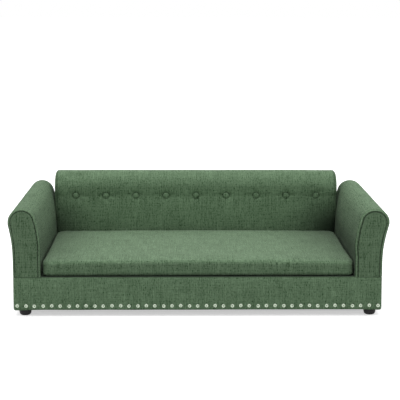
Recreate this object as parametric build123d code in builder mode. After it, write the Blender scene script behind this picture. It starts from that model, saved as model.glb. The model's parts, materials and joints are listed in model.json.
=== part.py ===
from build123d import *
from math import atan2, degrees, sqrt
import os

# A pet sofa bed: an upholstered box base on four round feet, two rolled arms with
# welted front facings, a buttoned back and a loose boxed seat cushion.
# Sizes are in millimetres. X runs to the right, Y to the back and Z up.
# The origin is on the floor, under the middle of the sofa.

# Whole sofa
sofa_width = 1090
sofa_depth = 610
foot_height = 20
base_height = 99
arm_height = 199
back_height = 238

# Cloth and general clearances
fabric = 1.5
foam_ease = 0.3
running_gap = 0.3
hole_ease = 0.1
overrun = 20

# Base box
base_padding = 4.5
base_edge_radius = 5
rail_thickness = 15
deck_thickness = 6
dust_sheet = 1
cross_rail_height = 60
cross_rail_share = 0.34
corner_block_size = 45

# Feet and their screws
foot_radius = 18
foot_edge_radius = 5
foot_web = 8
foot_recess_radius = 8
foot_side_inset = 32
foot_front_inset = 30
foot_screw_radius = 2.2
foot_screw_length = 45
foot_screw_head_radius = 4.5
foot_screw_head_height = 3

# Decorative nails along the front of the base
nail_pitch = 25.4
nail_end_margin = 11
nail_rise = 12.5
nail_head_radius = 5.5
nail_head_height = 3
nail_shank_radius = 0.9
nail_shank_length = 12

# Arms
arm_width = 80
arm_flare = 14
arm_roll_radius = 40
arm_swell_rise = 60
arm_waist_rise = 45
arm_foam_thickness = 10
arm_board_thickness = 12
arm_bottom_board_thickness = 15
stretcher_width = 24
stretcher_height = 20
facing_thickness = 7
facing_edge_radius = 4
welt_radius = 2.5
welt_inset = 4.5

# Bolts and threaded inserts that hold the arms to the deck
bolt_end_inset = 130
bolt_radius = 3
bolt_head_radius = 5.5
bolt_head_height = 4
bolt_head_sides = 6
bolt_tip = 2
washer_radius = 9
washer_thickness = 1.6
insert_barrel_radius = 4
insert_barrel_length = 9
insert_flange_radius = 9.5
insert_flange_thickness = 1.5

# Back
back_thickness = 85
back_side_gap = 1
back_side_swell = 3
back_corner_radius = 8
back_front_edge_radius = 12
back_rear_edge_radius = 16
back_roll_radius = 38
back_roll_reach = 45
lower_pad_drop = 80
lower_pad_bulge = 4
back_swell_drop = 54
crease_softness = 8
back_pad_thickness = 30
back_top_foam = 18
back_side_foam = 8
back_board_thickness = 5
back_rail_height = 20
back_upright_width = 20
back_upright_share = 0.33
back_screw_radius = 2.2
back_screw_length = 24
back_screw_head_radius = 4.5
back_screw_head_height = 3
back_screw_setback = 18
back_screw_shares = (-0.8, -0.22, 0.22, 0.8)

# Buttons of the back, pulled in by ties that end in toggles behind the board
button_pitch = 100
button_end_margin = 60
button_radius = 10
button_dome = 4
button_rim = 1.5
button_shank_radius = 2
button_shank_length = 3
well_radius = 24
well_depth = 6
tie_radius = 1
tie_hole_radius = 3
toggle_radius = 8
toggle_thickness = 2

# Seat cushion
cushion_thickness = 46
cushion_crown = 6
cushion_end_fall = 3
cushion_end_draw_in = 4
cushion_front_draw_in = 2
cushion_edge_radius = 12
cushion_corner_radius = 24
cushion_side_gap = 7
cushion_front_setback = 6
cushion_rear_gap = 9

# Zip in the rear band of the cushion cover
zip_end_margin = 68
zip_tape_width = 6
zip_chain_width = 5
zip_chain_depth = 1.5
slider_length = 12
slider_flange = 2
slider_roof = 1.5

# Places that several pieces share
base_top = foot_height + base_height
half_width = sofa_width / 2
half_depth = sofa_depth / 2
base_cover = fabric + base_padding
rail_x = half_width - base_cover
rail_y = half_depth - base_cover
rail_bottom = foot_height + dust_sheet
deck_top = base_top - fabric
deck_bottom = deck_top - deck_thickness
arm_top = base_top + arm_height
arm_inner_x = half_width - arm_width
arm_bolt_x = half_width - arm_width / 2
arm_bolt_y = half_depth - bolt_end_inset
back_top = base_top + back_height
back_front = half_depth - back_thickness
back_half_width = arm_inner_x - back_side_gap


def export(piece, name):
    """Writes one finished piece as a node of its own."""
    piece.label = name
    export_step(piece, f"parts/{name}.step")


def export_pair(piece, name):
    """Writes a piece of the right side, and its mirror image for the left side."""
    export(piece, f"{name}_right")
    export(mirror(piece, about=Plane.YZ), f"{name}_left")


def slab(x_limits, y_limits, z_limits, mode=Mode.ADD):
    """Adds a rectangular board between the given limits to the part being built."""
    with BuildSketch(Plane.XY.offset(z_limits[0])) as outline:
        with Locations((sum(x_limits) / 2, sum(y_limits) / 2)):
            Rectangle(x_limits[1] - x_limits[0], y_limits[1] - y_limits[0])
    extrude(outline.sketch, amount=z_limits[1] - z_limits[0], mode=mode)


def rods(points, radius, z_limits, mode=Mode.ADD):
    """Adds upright round rods at the given plan points to the part being built."""
    with BuildSketch(Plane.XY.offset(z_limits[0])) as outline:
        with Locations(*points):
            Circle(radius)
    extrude(outline.sketch, amount=z_limits[1] - z_limits[0], mode=mode)


def draw_dome(rim, crown):
    """Draws the arc of a dome from a point on its rim to its crown, ahead of it."""
    rise = rim.Y - crown.Y
    radius = (rim.X**2 + rise**2) / (2 * rise)
    ThreePointArc(rim, arc_middle(crown + Vector(0, radius), rim, crown), crown)


def front_plane(y):
    """The upright plane at y, seen from the front: its X is X and its Y is Z."""
    return Plane.XZ.offset(-y)


def arc_middle(centre, start, end):
    """The point of a circular arc halfway between its two ends."""
    to_middle = ((start - centre) + (end - centre)).normalized()
    return centre + to_middle * (start - centre).length


# Base box: rails, cross rails, corner blocks, deck and its cloth
foot_points = [
    (side * (half_width - foot_side_inset), end * (half_depth - foot_front_inset))
    for side in (-1, 1)
    for end in (-1, 1)
]
arm_bolt_points = [(arm_bolt_x, -arm_bolt_y), (arm_bolt_x, arm_bolt_y)]
all_arm_bolt_points = arm_bolt_points + [(-x, y) for x, y in arm_bolt_points]
back_screw_y = half_depth - base_cover - rail_thickness - back_screw_setback
back_screw_points = [(share * arm_inner_x, back_screw_y) for share in back_screw_shares]
rail_inner_x = rail_x - rail_thickness
rail_inner_y = rail_y - rail_thickness
rail_z = (rail_bottom, deck_bottom)

with BuildPart() as base_front_rail:
    slab((-rail_x, rail_x), (-rail_y, -rail_inner_y), rail_z)
export(base_front_rail.part, "base_front_rail")

with BuildPart() as base_rear_rail:
    slab((-rail_x, rail_x), (rail_inner_y, rail_y), rail_z)
export(base_rear_rail.part, "base_rear_rail")

with BuildPart() as base_side_rail:
    slab((rail_inner_x, rail_x), (-rail_inner_y, rail_inner_y), rail_z)
export_pair(base_side_rail.part, "base_side_rail")

with BuildPart() as base_cross_rail:
    cross_x = cross_rail_share * half_width
    slab(
        (cross_x - rail_thickness / 2, cross_x + rail_thickness / 2),
        (-rail_inner_y, rail_inner_y),
        (deck_bottom - cross_rail_height, deck_bottom),
    )
export_pair(base_cross_rail.part, "base_cross_rail")

with BuildPart() as corner_blocks:
    for side in (-1, 1):
        for end in (-1, 1):
            slab(
                sorted((side * (rail_inner_x - corner_block_size), side * rail_inner_x)),
                sorted((end * (rail_inner_y - corner_block_size), end * rail_inner_y)),
                rail_z,
            )
    screw_top = foot_height - foot_web + foot_screw_length
    rods(
        foot_points,
        foot_screw_radius + hole_ease,
        (rail_bottom, screw_top + hole_ease),
        Mode.SUBTRACT,
    )
export(corner_blocks.part, "corner_blocks")

with BuildPart() as seat_deck:
    slab((-rail_x, rail_x), (-rail_y, rail_y), (deck_bottom, deck_top))
    rods(all_arm_bolt_points, bolt_radius + hole_ease, (deck_bottom, deck_top), Mode.SUBTRACT)
    rods(back_screw_points, back_screw_radius + hole_ease, (deck_bottom, deck_top), Mode.SUBTRACT)
export(seat_deck.part, "seat_deck")

with BuildPart() as deck_cover:
    slab((-rail_x, rail_x), (-rail_y, rail_y), (deck_top, base_top))
    rods(all_arm_bolt_points, bolt_radius + hole_ease, (deck_top, base_top), Mode.SUBTRACT)
    rods(back_screw_points, back_screw_radius + hole_ease, (deck_top, base_top), Mode.SUBTRACT)
export(deck_cover.part, "deck_cover")

# Padded cloth on the four sides of the base, rounded at the upright corners
with BuildPart() as base_cover_front:
    slab((-half_width, half_width), (-half_depth, -rail_y), (foot_height, base_top))
    front_uprights = base_cover_front.edges().filter_by(Axis.Z).group_by(Axis.Y)[0]
    fillet(front_uprights, base_edge_radius)
export(base_cover_front.part, "base_cover_front")

with BuildPart() as base_cover_rear:
    slab((-half_width, half_width), (rail_y, half_depth), (foot_height, base_top))
    rear_uprights = base_cover_rear.edges().filter_by(Axis.Z).group_by(Axis.Y)[-1]
    fillet(rear_uprights, base_edge_radius)
export(base_cover_rear.part, "base_cover_rear")

with BuildPart() as base_cover_side:
    slab((rail_x, half_width), (-rail_y, rail_y), (foot_height, base_top))
export_pair(base_cover_side.part, "base_cover_side")

with BuildPart() as dust_cover:
    slab((-rail_x, rail_x), (-rail_y, rail_y), (foot_height, rail_bottom))
    rods(foot_points, foot_screw_radius + hole_ease, (foot_height, rail_bottom), Mode.SUBTRACT)
export(dust_cover.part, "dust_cover")


# Feet: round glides with a recessed screw, made once and set at the four corners
with BuildPart() as foot:
    with BuildSketch(Plane.XZ):
        with BuildLine():
            Polyline(
                (foot_screw_radius + hole_ease, foot_height),
                (foot_screw_radius + hole_ease, foot_height - foot_web),
                (foot_recess_radius, foot_height - foot_web),
                (foot_recess_radius, 0),
                (foot_radius - foot_edge_radius, 0),
            )
            ThreePointArc(
                (foot_radius - foot_edge_radius, 0),
                arc_middle(
                    Vector(foot_radius - foot_edge_radius, foot_edge_radius),
                    Vector(foot_radius - foot_edge_radius, 0),
                    Vector(foot_radius, foot_edge_radius),
                ),
                (foot_radius, foot_edge_radius),
            )
            Polyline(
                (foot_radius, foot_edge_radius),
                (foot_radius, foot_height),
                (foot_screw_radius + hole_ease, foot_height),
            )
        make_face()
    revolve(axis=Axis.Z)

for name, (x, y) in zip(("front_left", "rear_left", "front_right", "rear_right"), foot_points):
    export(Pos(x, y, 0) * foot.part, f"foot_{name}")

with BuildPart() as foot_screws:
    head_top = foot_height - foot_web
    rods(foot_points, foot_screw_head_radius, (head_top - foot_screw_head_height, head_top))
    rods(foot_points, foot_screw_radius, (head_top, screw_top))
export(foot_screws.part, "foot_screws")


# Decorative nails: domed heads against the front cover, shanks driven into the rail
with BuildPart() as nail:
    with BuildSketch(Plane.XY):
        with BuildLine():
            draw_dome(Vector(nail_head_radius, 0), Vector(0, -nail_head_height))
            Polyline(
                (0, -nail_head_height),
                (0, nail_shank_length),
                (nail_shank_radius, nail_shank_length),
                (nail_shank_radius, 0),
                (nail_head_radius, 0),
            )
        make_face()
    revolve(axis=Axis.Y)

nail_gaps = int((sofa_width - 2 * nail_end_margin) / nail_pitch)
with BuildPart() as nail_trim:
    with Locations((0, -half_depth, foot_height + nail_rise)):
        with GridLocations(nail_pitch, 0, nail_gaps + 1, 1):
            add(nail.part)
export(nail_trim.part, "nail_trim")


# Arm section: an upright inner side that swells over into the roll, and an outer
# side that hollows in below it. All its curves are arcs that meet in tangents.
roll_centre = Vector(half_width + arm_flare - arm_roll_radius, arm_top - arm_roll_radius)
swell_z = base_top + arm_swell_rise
waist_z = base_top + arm_waist_rise


def tangent_radius(across, along, roll_radius):
    """The radius of the arc that leaves an upright line and runs into the roll."""
    return (across**2 + along**2 - roll_radius**2) / (2 * (across - roll_radius))


inner_radius = tangent_radius(
    roll_centre.X - arm_inner_x, roll_centre.Y - swell_z, arm_roll_radius
)
outer_radius = -tangent_radius(
    half_width - roll_centre.X, roll_centre.Y - waist_z, arm_roll_radius
)


def arm_edge(inset):
    """Draws the arm's section from its inner foot over the roll to its outer foot."""
    inner_centre = Vector(arm_inner_x + inner_radius, swell_z)
    outer_centre = Vector(half_width + outer_radius, waist_z)
    inner_way = (roll_centre - inner_centre).normalized()
    outer_way = (outer_centre - roll_centre).normalized()
    inner_start = Vector(arm_inner_x + inset, swell_z)
    inner_end = roll_centre + inner_way * (arm_roll_radius - inset)
    outer_start = roll_centre + outer_way * (arm_roll_radius - inset)
    outer_end = Vector(half_width - inset, waist_z)
    Line((inner_start.X, base_top), inner_start)
    ThreePointArc(inner_start, arc_middle(inner_centre, inner_start, inner_end), inner_end)
    ThreePointArc(inner_end, roll_centre + Vector(0, arm_roll_radius - inset), outer_start)
    ThreePointArc(outer_start, arc_middle(outer_centre, outer_start, outer_end), outer_end)
    Line(outer_end, (outer_end.X, base_top))


def arm_section(inset, y):
    """The face that the arm's section encloses, inside its surface by inset, at y."""
    with BuildSketch(front_plane(y)) as section:
        with BuildLine():
            arm_edge(inset)
            Line((half_width - inset, base_top), (arm_inner_x + inset, base_top))
        make_face()
    return section.sketch


body_front = -half_depth + facing_thickness
body_rear = half_depth - fabric
foam_inset = fabric + foam_ease
board_inset = foam_inset + arm_foam_thickness
bottom_board_top = base_top + arm_bottom_board_thickness
board_front = body_front + arm_board_thickness
board_rear = body_rear - arm_board_thickness

with BuildPart() as arm_cover:
    extrude(arm_section(0, body_front), amount=body_front - half_depth)
    extrude(
        arm_section(fabric, body_front), amount=body_front - body_rear, mode=Mode.SUBTRACT
    )
export_pair(arm_cover.part, "arm_cover")

with BuildPart() as arm_foam:
    extrude(arm_section(foam_inset, body_front), amount=body_front - body_rear)
    extrude(
        arm_section(board_inset, body_front), amount=body_front - body_rear, mode=Mode.SUBTRACT
    )
export_pair(arm_foam.part, "arm_foam")

with BuildPart() as arm_front_board:
    extrude(arm_section(board_inset, body_front), amount=-arm_board_thickness)
export_pair(arm_front_board.part, "arm_front_board")

with BuildPart() as arm_rear_board:
    extrude(arm_section(board_inset, board_rear), amount=-arm_board_thickness)
export_pair(arm_rear_board.part, "arm_rear_board")

with BuildPart() as arm_bottom_board:
    slab(
        (arm_inner_x + board_inset, half_width - board_inset),
        (board_front, board_rear),
        (base_top, bottom_board_top),
    )
    rods(
        arm_bolt_points,
        insert_barrel_radius,
        (bottom_board_top - insert_barrel_length, bottom_board_top),
        Mode.SUBTRACT,
    )
    rods(
        arm_bolt_points, bolt_radius + hole_ease, (base_top, bottom_board_top), Mode.SUBTRACT
    )
export_pair(arm_bottom_board.part, "arm_bottom_board")

with BuildPart() as arm_stretchers:
    half_stretcher = stretcher_width / 2
    slab(
        (roll_centre.X - half_stretcher, roll_centre.X + half_stretcher),
        (board_front, board_rear),
        (roll_centre.Y - stretcher_height / 2, roll_centre.Y + stretcher_height / 2),
    )
    slab(
        (arm_inner_x + board_inset, arm_inner_x + board_inset + stretcher_height),
        (board_front, board_rear),
        (swell_z - stretcher_width, swell_z),
    )
    slab(
        (half_width - board_inset - stretcher_height, half_width - board_inset),
        (board_front, board_rear),
        (waist_z - stretcher_width, waist_z),
    )
export_pair(arm_stretchers.part, "arm_stretchers")

with BuildPart() as arm_facing:
    extrude(arm_section(welt_inset + welt_radius, -half_depth), amount=-facing_thickness)
    facing_front = arm_facing.faces().sort_by(Axis.Y)[0]
    fillet(facing_front.edges(), facing_edge_radius)
export_pair(arm_facing.part, "arm_facing")

welt_y = body_front - welt_radius
with BuildLine() as welt_route:
    arm_edge(welt_inset)
welt_path = front_plane(welt_y) * welt_route.line

with BuildPart() as arm_welt:
    with BuildSketch(Plane.XY.offset(base_top)):
        with Locations((arm_inner_x + welt_inset, welt_y)):
            Circle(welt_radius)
    sweep(path=welt_path)
export_pair(arm_welt.part, "arm_welt")

bolt_head_top = deck_bottom - washer_thickness
with BuildPart() as arm_bolts:
    with BuildSketch(Plane.XY.offset(bolt_head_top - bolt_head_height)) as hexagons:
        with Locations(*arm_bolt_points):
            RegularPolygon(bolt_head_radius, bolt_head_sides)
    extrude(hexagons.sketch, amount=bolt_head_height)
    rods(
        arm_bolt_points,
        bolt_radius,
        (bolt_head_top, bottom_board_top + insert_flange_thickness + bolt_tip),
    )
export_pair(arm_bolts.part, "arm_bolts")

with BuildPart() as arm_washers:
    rods(arm_bolt_points, washer_radius, (bolt_head_top, deck_bottom))
    rods(arm_bolt_points, bolt_radius + hole_ease, (bolt_head_top, deck_bottom), Mode.SUBTRACT)
export_pair(arm_washers.part, "arm_washers")

with BuildPart() as arm_inserts:
    barrel_z = (bottom_board_top - insert_barrel_length, bottom_board_top)
    flange_z = (bottom_board_top, bottom_board_top + insert_flange_thickness)
    rods(arm_bolt_points, insert_barrel_radius, barrel_z)
    rods(arm_bolt_points, insert_flange_radius, flange_z)
    rods(
        arm_bolt_points, bolt_radius + hole_ease, (barrel_z[0], flange_z[1]), Mode.SUBTRACT
    )
export_pair(arm_inserts.part, "arm_inserts")


# Back: a lower pad and a roll, which meet in a valley along the button row
pad_half_height = (back_height - lower_pad_drop) / 2
pad_radius = (pad_half_height**2 + lower_pad_bulge**2) / (2 * lower_pad_bulge)
pad_centre = Vector(back_front + pad_radius, base_top + pad_half_height)
back_roll_centre = Vector(back_front + back_roll_reach, back_top - back_roll_radius)
back_swell_z = back_top - back_swell_drop
back_swell_radius = tangent_radius(
    back_roll_reach, back_roll_centre.Y - back_swell_z, back_roll_radius
)
back_swell_centre = Vector(back_front + back_swell_radius, back_swell_z)


def front_crossing(low, low_radius, high, high_radius):
    """The front one of the two points where a low circle and a high circle cross."""
    way = (high - low).normalized()
    apart = (high - low).length
    along = (apart**2 + low_radius**2 - high_radius**2) / (2 * apart)
    aside = sqrt(low_radius**2 - along**2)
    return low + way * along + Vector(-way.Y, way.X) * aside


valley = front_crossing(pad_centre, pad_radius, back_swell_centre, back_swell_radius)
button_z = valley.Y
well_centre_y = valley.X + well_depth - well_radius


def back_profile(inset):
    """The back seen from its side, inside its surface by inset."""
    pad_inner = pad_radius - inset
    swell_inner = back_swell_radius - inset
    bottom = base_top + inset
    top = back_top - inset
    rear = half_depth - inset
    pad_drop = pad_centre.Y - bottom
    foot = Vector(pad_centre.X - sqrt(pad_inner**2 - pad_drop**2), bottom)
    crease = front_crossing(pad_centre, pad_inner, back_swell_centre, swell_inner)
    way = (back_roll_centre - back_swell_centre).normalized()
    roll_start = back_roll_centre + way * (back_roll_radius - inset)
    roll_end = Vector(back_roll_centre.X, top)
    with BuildSketch(Plane.YZ.offset(-half_width)) as profile:
        with BuildLine():
            ThreePointArc(foot, arc_middle(pad_centre, foot, crease), crease)
            ThreePointArc(
                crease, arc_middle(back_swell_centre, crease, roll_start), roll_start
            )
            ThreePointArc(
                roll_start, arc_middle(back_roll_centre, roll_start, roll_end), roll_end
            )
            Polyline(roll_end, (rear, top), (rear, bottom), foot)
        make_face()
        rear_top = profile.vertices().sort_by_distance((rear, top))[0]
        fillet(rear_top, back_rear_edge_radius - inset)
        crease_corner = profile.vertices().sort_by_distance(crease)[0]
        fillet(crease_corner, crease_softness + inset)
    return profile.sketch


def back_front_outline(inset):
    """The back seen from the front, a little wider above the arms than between them."""
    half = back_half_width - inset
    top = back_top - inset
    bottom = base_top + inset
    middle_z = (swell_z + back_top) / 2
    with BuildSketch(front_plane(-half_depth)) as outline:
        with BuildLine():
            Polyline((0, bottom), (half, bottom), (half, swell_z))
            ThreePointArc((half, swell_z), (half + back_side_swell, middle_z), (half, top))
            Line((half, top), (0, top))
            mirror(about=Plane.YZ)
        make_face()
        for side in (-half, half):
            top_corner = outline.vertices().sort_by_distance((side, top))[0]
            fillet(top_corner, back_corner_radius - inset)
    return outline.sketch


def back_plan(inset):
    """The back seen from above, with rounded front corners."""
    half = back_half_width + back_side_swell - inset
    front = back_front + inset
    rear = half_depth - inset
    with BuildSketch(Plane.XY) as plan:
        with Locations((0, (front + rear) / 2)):
            Rectangle(2 * half, rear - front)
        fillet(plan.vertices().group_by(Axis.Y)[0], back_front_edge_radius - inset)
    return plan.sketch


def back_body(inset):
    """The whole back as one solid, inside its surface by inset, with its button wells."""
    with BuildPart() as body:
        extrude(back_profile(inset), amount=sofa_width)
        extrude(back_front_outline(inset), amount=-sofa_depth, mode=Mode.INTERSECT)
        extrude(back_plan(inset), amount=back_top + overrun, mode=Mode.INTERSECT)
        with Locations(*[(x, well_centre_y, button_z) for x in button_xs]):
            Sphere(well_radius + inset, mode=Mode.SUBTRACT)
    return body.part


def back_rods(radius, y_limits, mode=Mode.ADD):
    """Adds level rods, front to back, at every button to the part being built."""
    with BuildSketch(front_plane(y_limits[0])) as outline:
        with Locations(*[(x, button_z) for x in button_xs]):
            Circle(radius)
    extrude(outline.sketch, amount=y_limits[0] - y_limits[1], mode=mode)


buttons_each_side = int((back_half_width - button_end_margin) / button_pitch)
button_xs = [n * button_pitch for n in range(-buttons_each_side, buttons_each_side + 1)]
well_bottom = well_centre_y + well_radius
board_y = back_front + back_pad_thickness
back_rail_y = (board_y + back_board_thickness, body_rear)
frame_half = back_half_width - fabric - back_side_foam
frame_bottom = base_top + fabric
frame_top = back_top - back_top_foam
toggle_y = (board_y + back_board_thickness, board_y + back_board_thickness + toggle_thickness)

back_outer = back_body(0)
back_inner = back_body(fabric)
rear_cut = front_plane(body_rear)

with BuildPart() as back_cover:
    add(back_outer)
    add(back_inner, mode=Mode.SUBTRACT)
    split(bisect_by=rear_cut, keep=Keep.TOP)
    back_rods(tie_hole_radius, (back_front, board_y), Mode.SUBTRACT)
    rods(back_screw_points, back_screw_radius + hole_ease, (base_top, frame_bottom), Mode.SUBTRACT)
export(back_cover.part, "back_cover")

with BuildPart() as back_rear_panel:
    add(back_outer)
    split(bisect_by=rear_cut, keep=Keep.BOTTOM)
export(back_rear_panel.part, "back_rear_panel")

with BuildPart() as back_foam:
    add(back_body(foam_inset))
    slab((-frame_half, frame_half), (board_y, half_depth), (base_top, frame_top), Mode.SUBTRACT)
    back_rods(tie_hole_radius, (back_front, board_y), Mode.SUBTRACT)
export(back_foam.part, "back_foam")

with BuildPart() as back_board:
    slab(
        (-frame_half, frame_half),
        (board_y, board_y + back_board_thickness),
        (frame_bottom, frame_top),
    )
    back_rods(tie_hole_radius, (board_y, board_y + back_board_thickness), Mode.SUBTRACT)
export(back_board.part, "back_board")

with BuildPart() as back_bottom_rail:
    slab(
        (-frame_half, frame_half), back_rail_y, (frame_bottom, frame_bottom + back_rail_height)
    )
    screw_tip = deck_bottom + back_screw_length
    rods(
        back_screw_points,
        back_screw_radius + hole_ease,
        (frame_bottom, screw_tip + hole_ease),
        Mode.SUBTRACT,
    )
export(back_bottom_rail.part, "back_bottom_rail")

with BuildPart() as back_top_rail:
    slab((-frame_half, frame_half), back_rail_y, (frame_top - back_rail_height, frame_top))
export(back_top_rail.part, "back_top_rail")

with BuildPart() as back_uprights:
    upright_z = (frame_bottom + back_rail_height, frame_top - back_rail_height)
    buttons_inside = int(back_upright_share * buttons_each_side)
    between_buttons = (2 * buttons_inside + 1) * button_pitch / 2
    for inner_edge in (between_buttons - back_upright_width / 2, frame_half - back_upright_width):
        slab((inner_edge, inner_edge + back_upright_width), back_rail_y, upright_z)
    mirror(about=Plane.YZ)
export(back_uprights.part, "back_uprights")

with BuildPart() as back_screws:
    head_z = (deck_bottom - back_screw_head_height, deck_bottom)
    rods(back_screw_points, back_screw_head_radius, head_z)
    rods(back_screw_points, back_screw_radius, (deck_bottom, screw_tip))
export(back_screws.part, "back_screws")

# Buttons: domed fronts, backs curved to sit in the wells, and a shank for the tie
with BuildPart() as button:
    back_sag = well_radius - sqrt(well_radius**2 - button_radius**2)
    with BuildSketch(Plane.XY):
        with BuildLine():
            rim_back = Vector(button_radius, -back_sag - running_gap)
            rim_front = rim_back - Vector(0, button_rim)
            crown = rim_front - Vector(button_radius, button_dome)
            Line(rim_back, rim_front)
            draw_dome(rim_front, crown)
            Polyline(
                crown,
                (0, button_shank_length),
                (button_shank_radius, button_shank_length),
                (button_shank_radius, -running_gap),
            )
            seat_centre = Vector(0, -well_radius - running_gap)
            shank_root = Vector(button_shank_radius, -running_gap)
            ThreePointArc(shank_root, arc_middle(seat_centre, shank_root, rim_back), rim_back)
        make_face()
    revolve(axis=Axis.Y)

with BuildPart() as back_buttons:
    with Locations(*[(x, well_bottom, button_z) for x in button_xs]):
        add(button.part)
export(back_buttons.part, "back_buttons")

with BuildPart() as button_ties:
    back_rods(tie_radius, (well_bottom + button_shank_length, toggle_y[1]))
    back_rods(toggle_radius, toggle_y)
export(button_ties.part, "button_ties")


# Seat cushion: a boxed cushion with a crowned top and sides that draw in
cushion_half = arm_inner_x - cushion_side_gap
cushion_front = -half_depth + cushion_front_setback
cushion_rear = back_front - cushion_rear_gap
cushion_middle = (cushion_front + cushion_rear) / 2
shoulder_z = base_top + cushion_thickness
band_z = (base_top + shoulder_z) / 2
crown_z = shoulder_z + cushion_crown + cushion_end_fall
end_radius = (cushion_half**2 + cushion_end_fall**2) / (2 * cushion_end_fall)
crown_axis = Axis((0, 0, crown_z - end_radius), (0, 1, 0))
crown_reach = degrees(atan2(cushion_half + overrun, end_radius))


def cushion_plan(inset):
    """The cushion seen from above: rounded corners, with the front and ends drawn in."""
    half = cushion_half - inset
    front = cushion_front + inset
    rear = cushion_rear - inset
    with BuildSketch(Plane.XY.offset(base_top + inset)) as plan:
        with BuildLine():
            ThreePointArc(
                (half, rear), (half - cushion_end_draw_in, cushion_middle), (half, front)
            )
            ThreePointArc((half, front), (0, front + cushion_front_draw_in), (-half, front))
            ThreePointArc(
                (-half, front), (cushion_end_draw_in - half, cushion_middle), (-half, rear)
            )
            Line((-half, rear), (half, rear))
        make_face()
        fillet(plan.vertices(), cushion_corner_radius - inset)
    return plan.sketch


def cushion_crown_section(inset):
    """The section, seen from the side, that turns about the crown axis into the top."""
    edge_z = crown_z - cushion_crown - inset
    with BuildSketch(Plane.YZ) as section:
        with BuildLine():
            ThreePointArc(
                (cushion_front, edge_z), (cushion_middle, crown_z - inset), (cushion_rear, edge_z)
            )
            Polyline(
                (cushion_rear, edge_z),
                (cushion_rear, base_top - overrun),
                (cushion_front, base_top - overrun),
                (cushion_front, edge_z),
            )
        make_face()
    return section.sketch.rotate(crown_axis, -crown_reach)


def cushion_body(inset):
    """The whole cushion as one solid, inside its surface by inset."""
    with BuildPart() as body:
        extrude(cushion_plan(inset), amount=back_height)
        revolve(
            cushion_crown_section(inset),
            axis=crown_axis,
            revolution_arc=2 * crown_reach,
            mode=Mode.INTERSECT,
        )
        bottom_edges = body.faces().sort_by(Axis.Z)[0].edges()
        top_edges = body.faces().sort_by(Axis.Z)[-1].edges()
        fillet(bottom_edges + top_edges, cushion_edge_radius - inset)
    return body.part


slot_half = zip_tape_width + zip_chain_width / 2
chain_half = zip_chain_width / 2
zip_x = (zip_end_margin - cushion_half, cushion_half - zip_end_margin)

with BuildPart() as cushion_cover:
    add(cushion_body(0))
    add(cushion_body(fabric), mode=Mode.SUBTRACT)
    slab(
        zip_x,
        (cushion_rear - fabric, cushion_rear),
        (band_z - slot_half, band_z + slot_half),
        Mode.SUBTRACT,
    )
export(cushion_cover.part, "cushion_cover")

with BuildPart() as cushion_foam:
    add(cushion_body(foam_inset))
export(cushion_foam.part, "cushion_foam")

with BuildPart() as cushion_zip:
    slab(zip_x, (cushion_rear - fabric, cushion_rear), (band_z - slot_half, band_z + slot_half))
    slab(
        zip_x,
        (cushion_rear, cushion_rear + zip_chain_depth),
        (band_z - chain_half, band_z + chain_half),
    )
export(cushion_zip.part, "cushion_zip")

slider_half = chain_half + running_gap + slider_flange
slider_y = (cushion_rear + running_gap, cushion_rear + zip_chain_depth + running_gap + slider_roof)
slider_x = (zip_x[1] - 2 * slider_length, zip_x[1] - slider_length)
with BuildPart() as zip_slider:
    slab(slider_x, slider_y, (band_z - slider_half, band_z + slider_half))
    fillet(zip_slider.edges().filter_by(Axis.X).group_by(Axis.Y)[-1], slider_roof)
    slab(
        slider_x,
        (cushion_rear, cushion_rear + zip_chain_depth + running_gap),
        (band_z - chain_half - running_gap, band_z + chain_half + running_gap),
        Mode.SUBTRACT,
    )
export(zip_slider.part, "zip_slider")
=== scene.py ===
import json
import math
import bpy
import numpy as np
from mathutils import Matrix, Vector, noise


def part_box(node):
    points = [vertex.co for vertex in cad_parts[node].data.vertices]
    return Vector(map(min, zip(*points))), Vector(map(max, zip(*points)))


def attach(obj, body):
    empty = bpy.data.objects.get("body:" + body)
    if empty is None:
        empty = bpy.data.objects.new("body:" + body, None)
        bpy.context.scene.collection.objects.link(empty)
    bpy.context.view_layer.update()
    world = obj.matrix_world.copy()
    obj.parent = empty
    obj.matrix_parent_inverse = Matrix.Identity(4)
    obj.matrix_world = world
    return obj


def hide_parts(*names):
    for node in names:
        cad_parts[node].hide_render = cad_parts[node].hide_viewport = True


# a pet sofa bed in green linen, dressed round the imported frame, in metres

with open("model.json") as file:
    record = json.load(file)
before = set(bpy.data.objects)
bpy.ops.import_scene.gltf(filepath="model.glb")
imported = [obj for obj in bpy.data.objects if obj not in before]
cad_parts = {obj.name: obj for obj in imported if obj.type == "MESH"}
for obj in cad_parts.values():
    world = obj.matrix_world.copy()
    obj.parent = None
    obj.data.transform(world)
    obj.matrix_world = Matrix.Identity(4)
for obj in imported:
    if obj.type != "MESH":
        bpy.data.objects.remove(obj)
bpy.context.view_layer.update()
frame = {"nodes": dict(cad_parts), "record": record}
cadNodes = frame["nodes"]
scene = bpy.context.scene
print("frame loaded,", len(cadNodes), "nodes")


# handling of objects and selections

hair = 0.00001   # two places closer than this are the same
slant = 0.7      # share of an axis in a face's normal at which the weave changes to the next run


def deselectAll():
    if bpy.context.mode != "OBJECT":
        bpy.ops.object.mode_set(mode="OBJECT")
    bpy.ops.object.select_all(action="DESELECT")


def pick(piece):
    deselectAll()
    piece.select_set(True)
    bpy.context.view_layer.objects.active = piece


def extrude(way):
    bpy.ops.mesh.extrude_region_move(TRANSFORM_OT_translate={"value": way})


def newPiece(name):
    # names the primitive that was just added, and puts its place and size into its mesh
    piece = bpy.context.active_object
    piece.name = name
    piece.data.name = name
    pick(piece)
    bpy.ops.object.transform_apply(location=True, rotation=True, scale=True)
    return piece


def editMode(selectMode="VERT"):
    bpy.ops.object.mode_set(mode="EDIT")
    bpy.ops.mesh.select_mode(type=selectMode)
    bpy.ops.mesh.select_all(action="DESELECT")


def editAll():
    # edit mode with the whole piece selected
    bpy.ops.object.mode_set(mode="EDIT")
    bpy.ops.mesh.select_all(action="SELECT")


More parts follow.
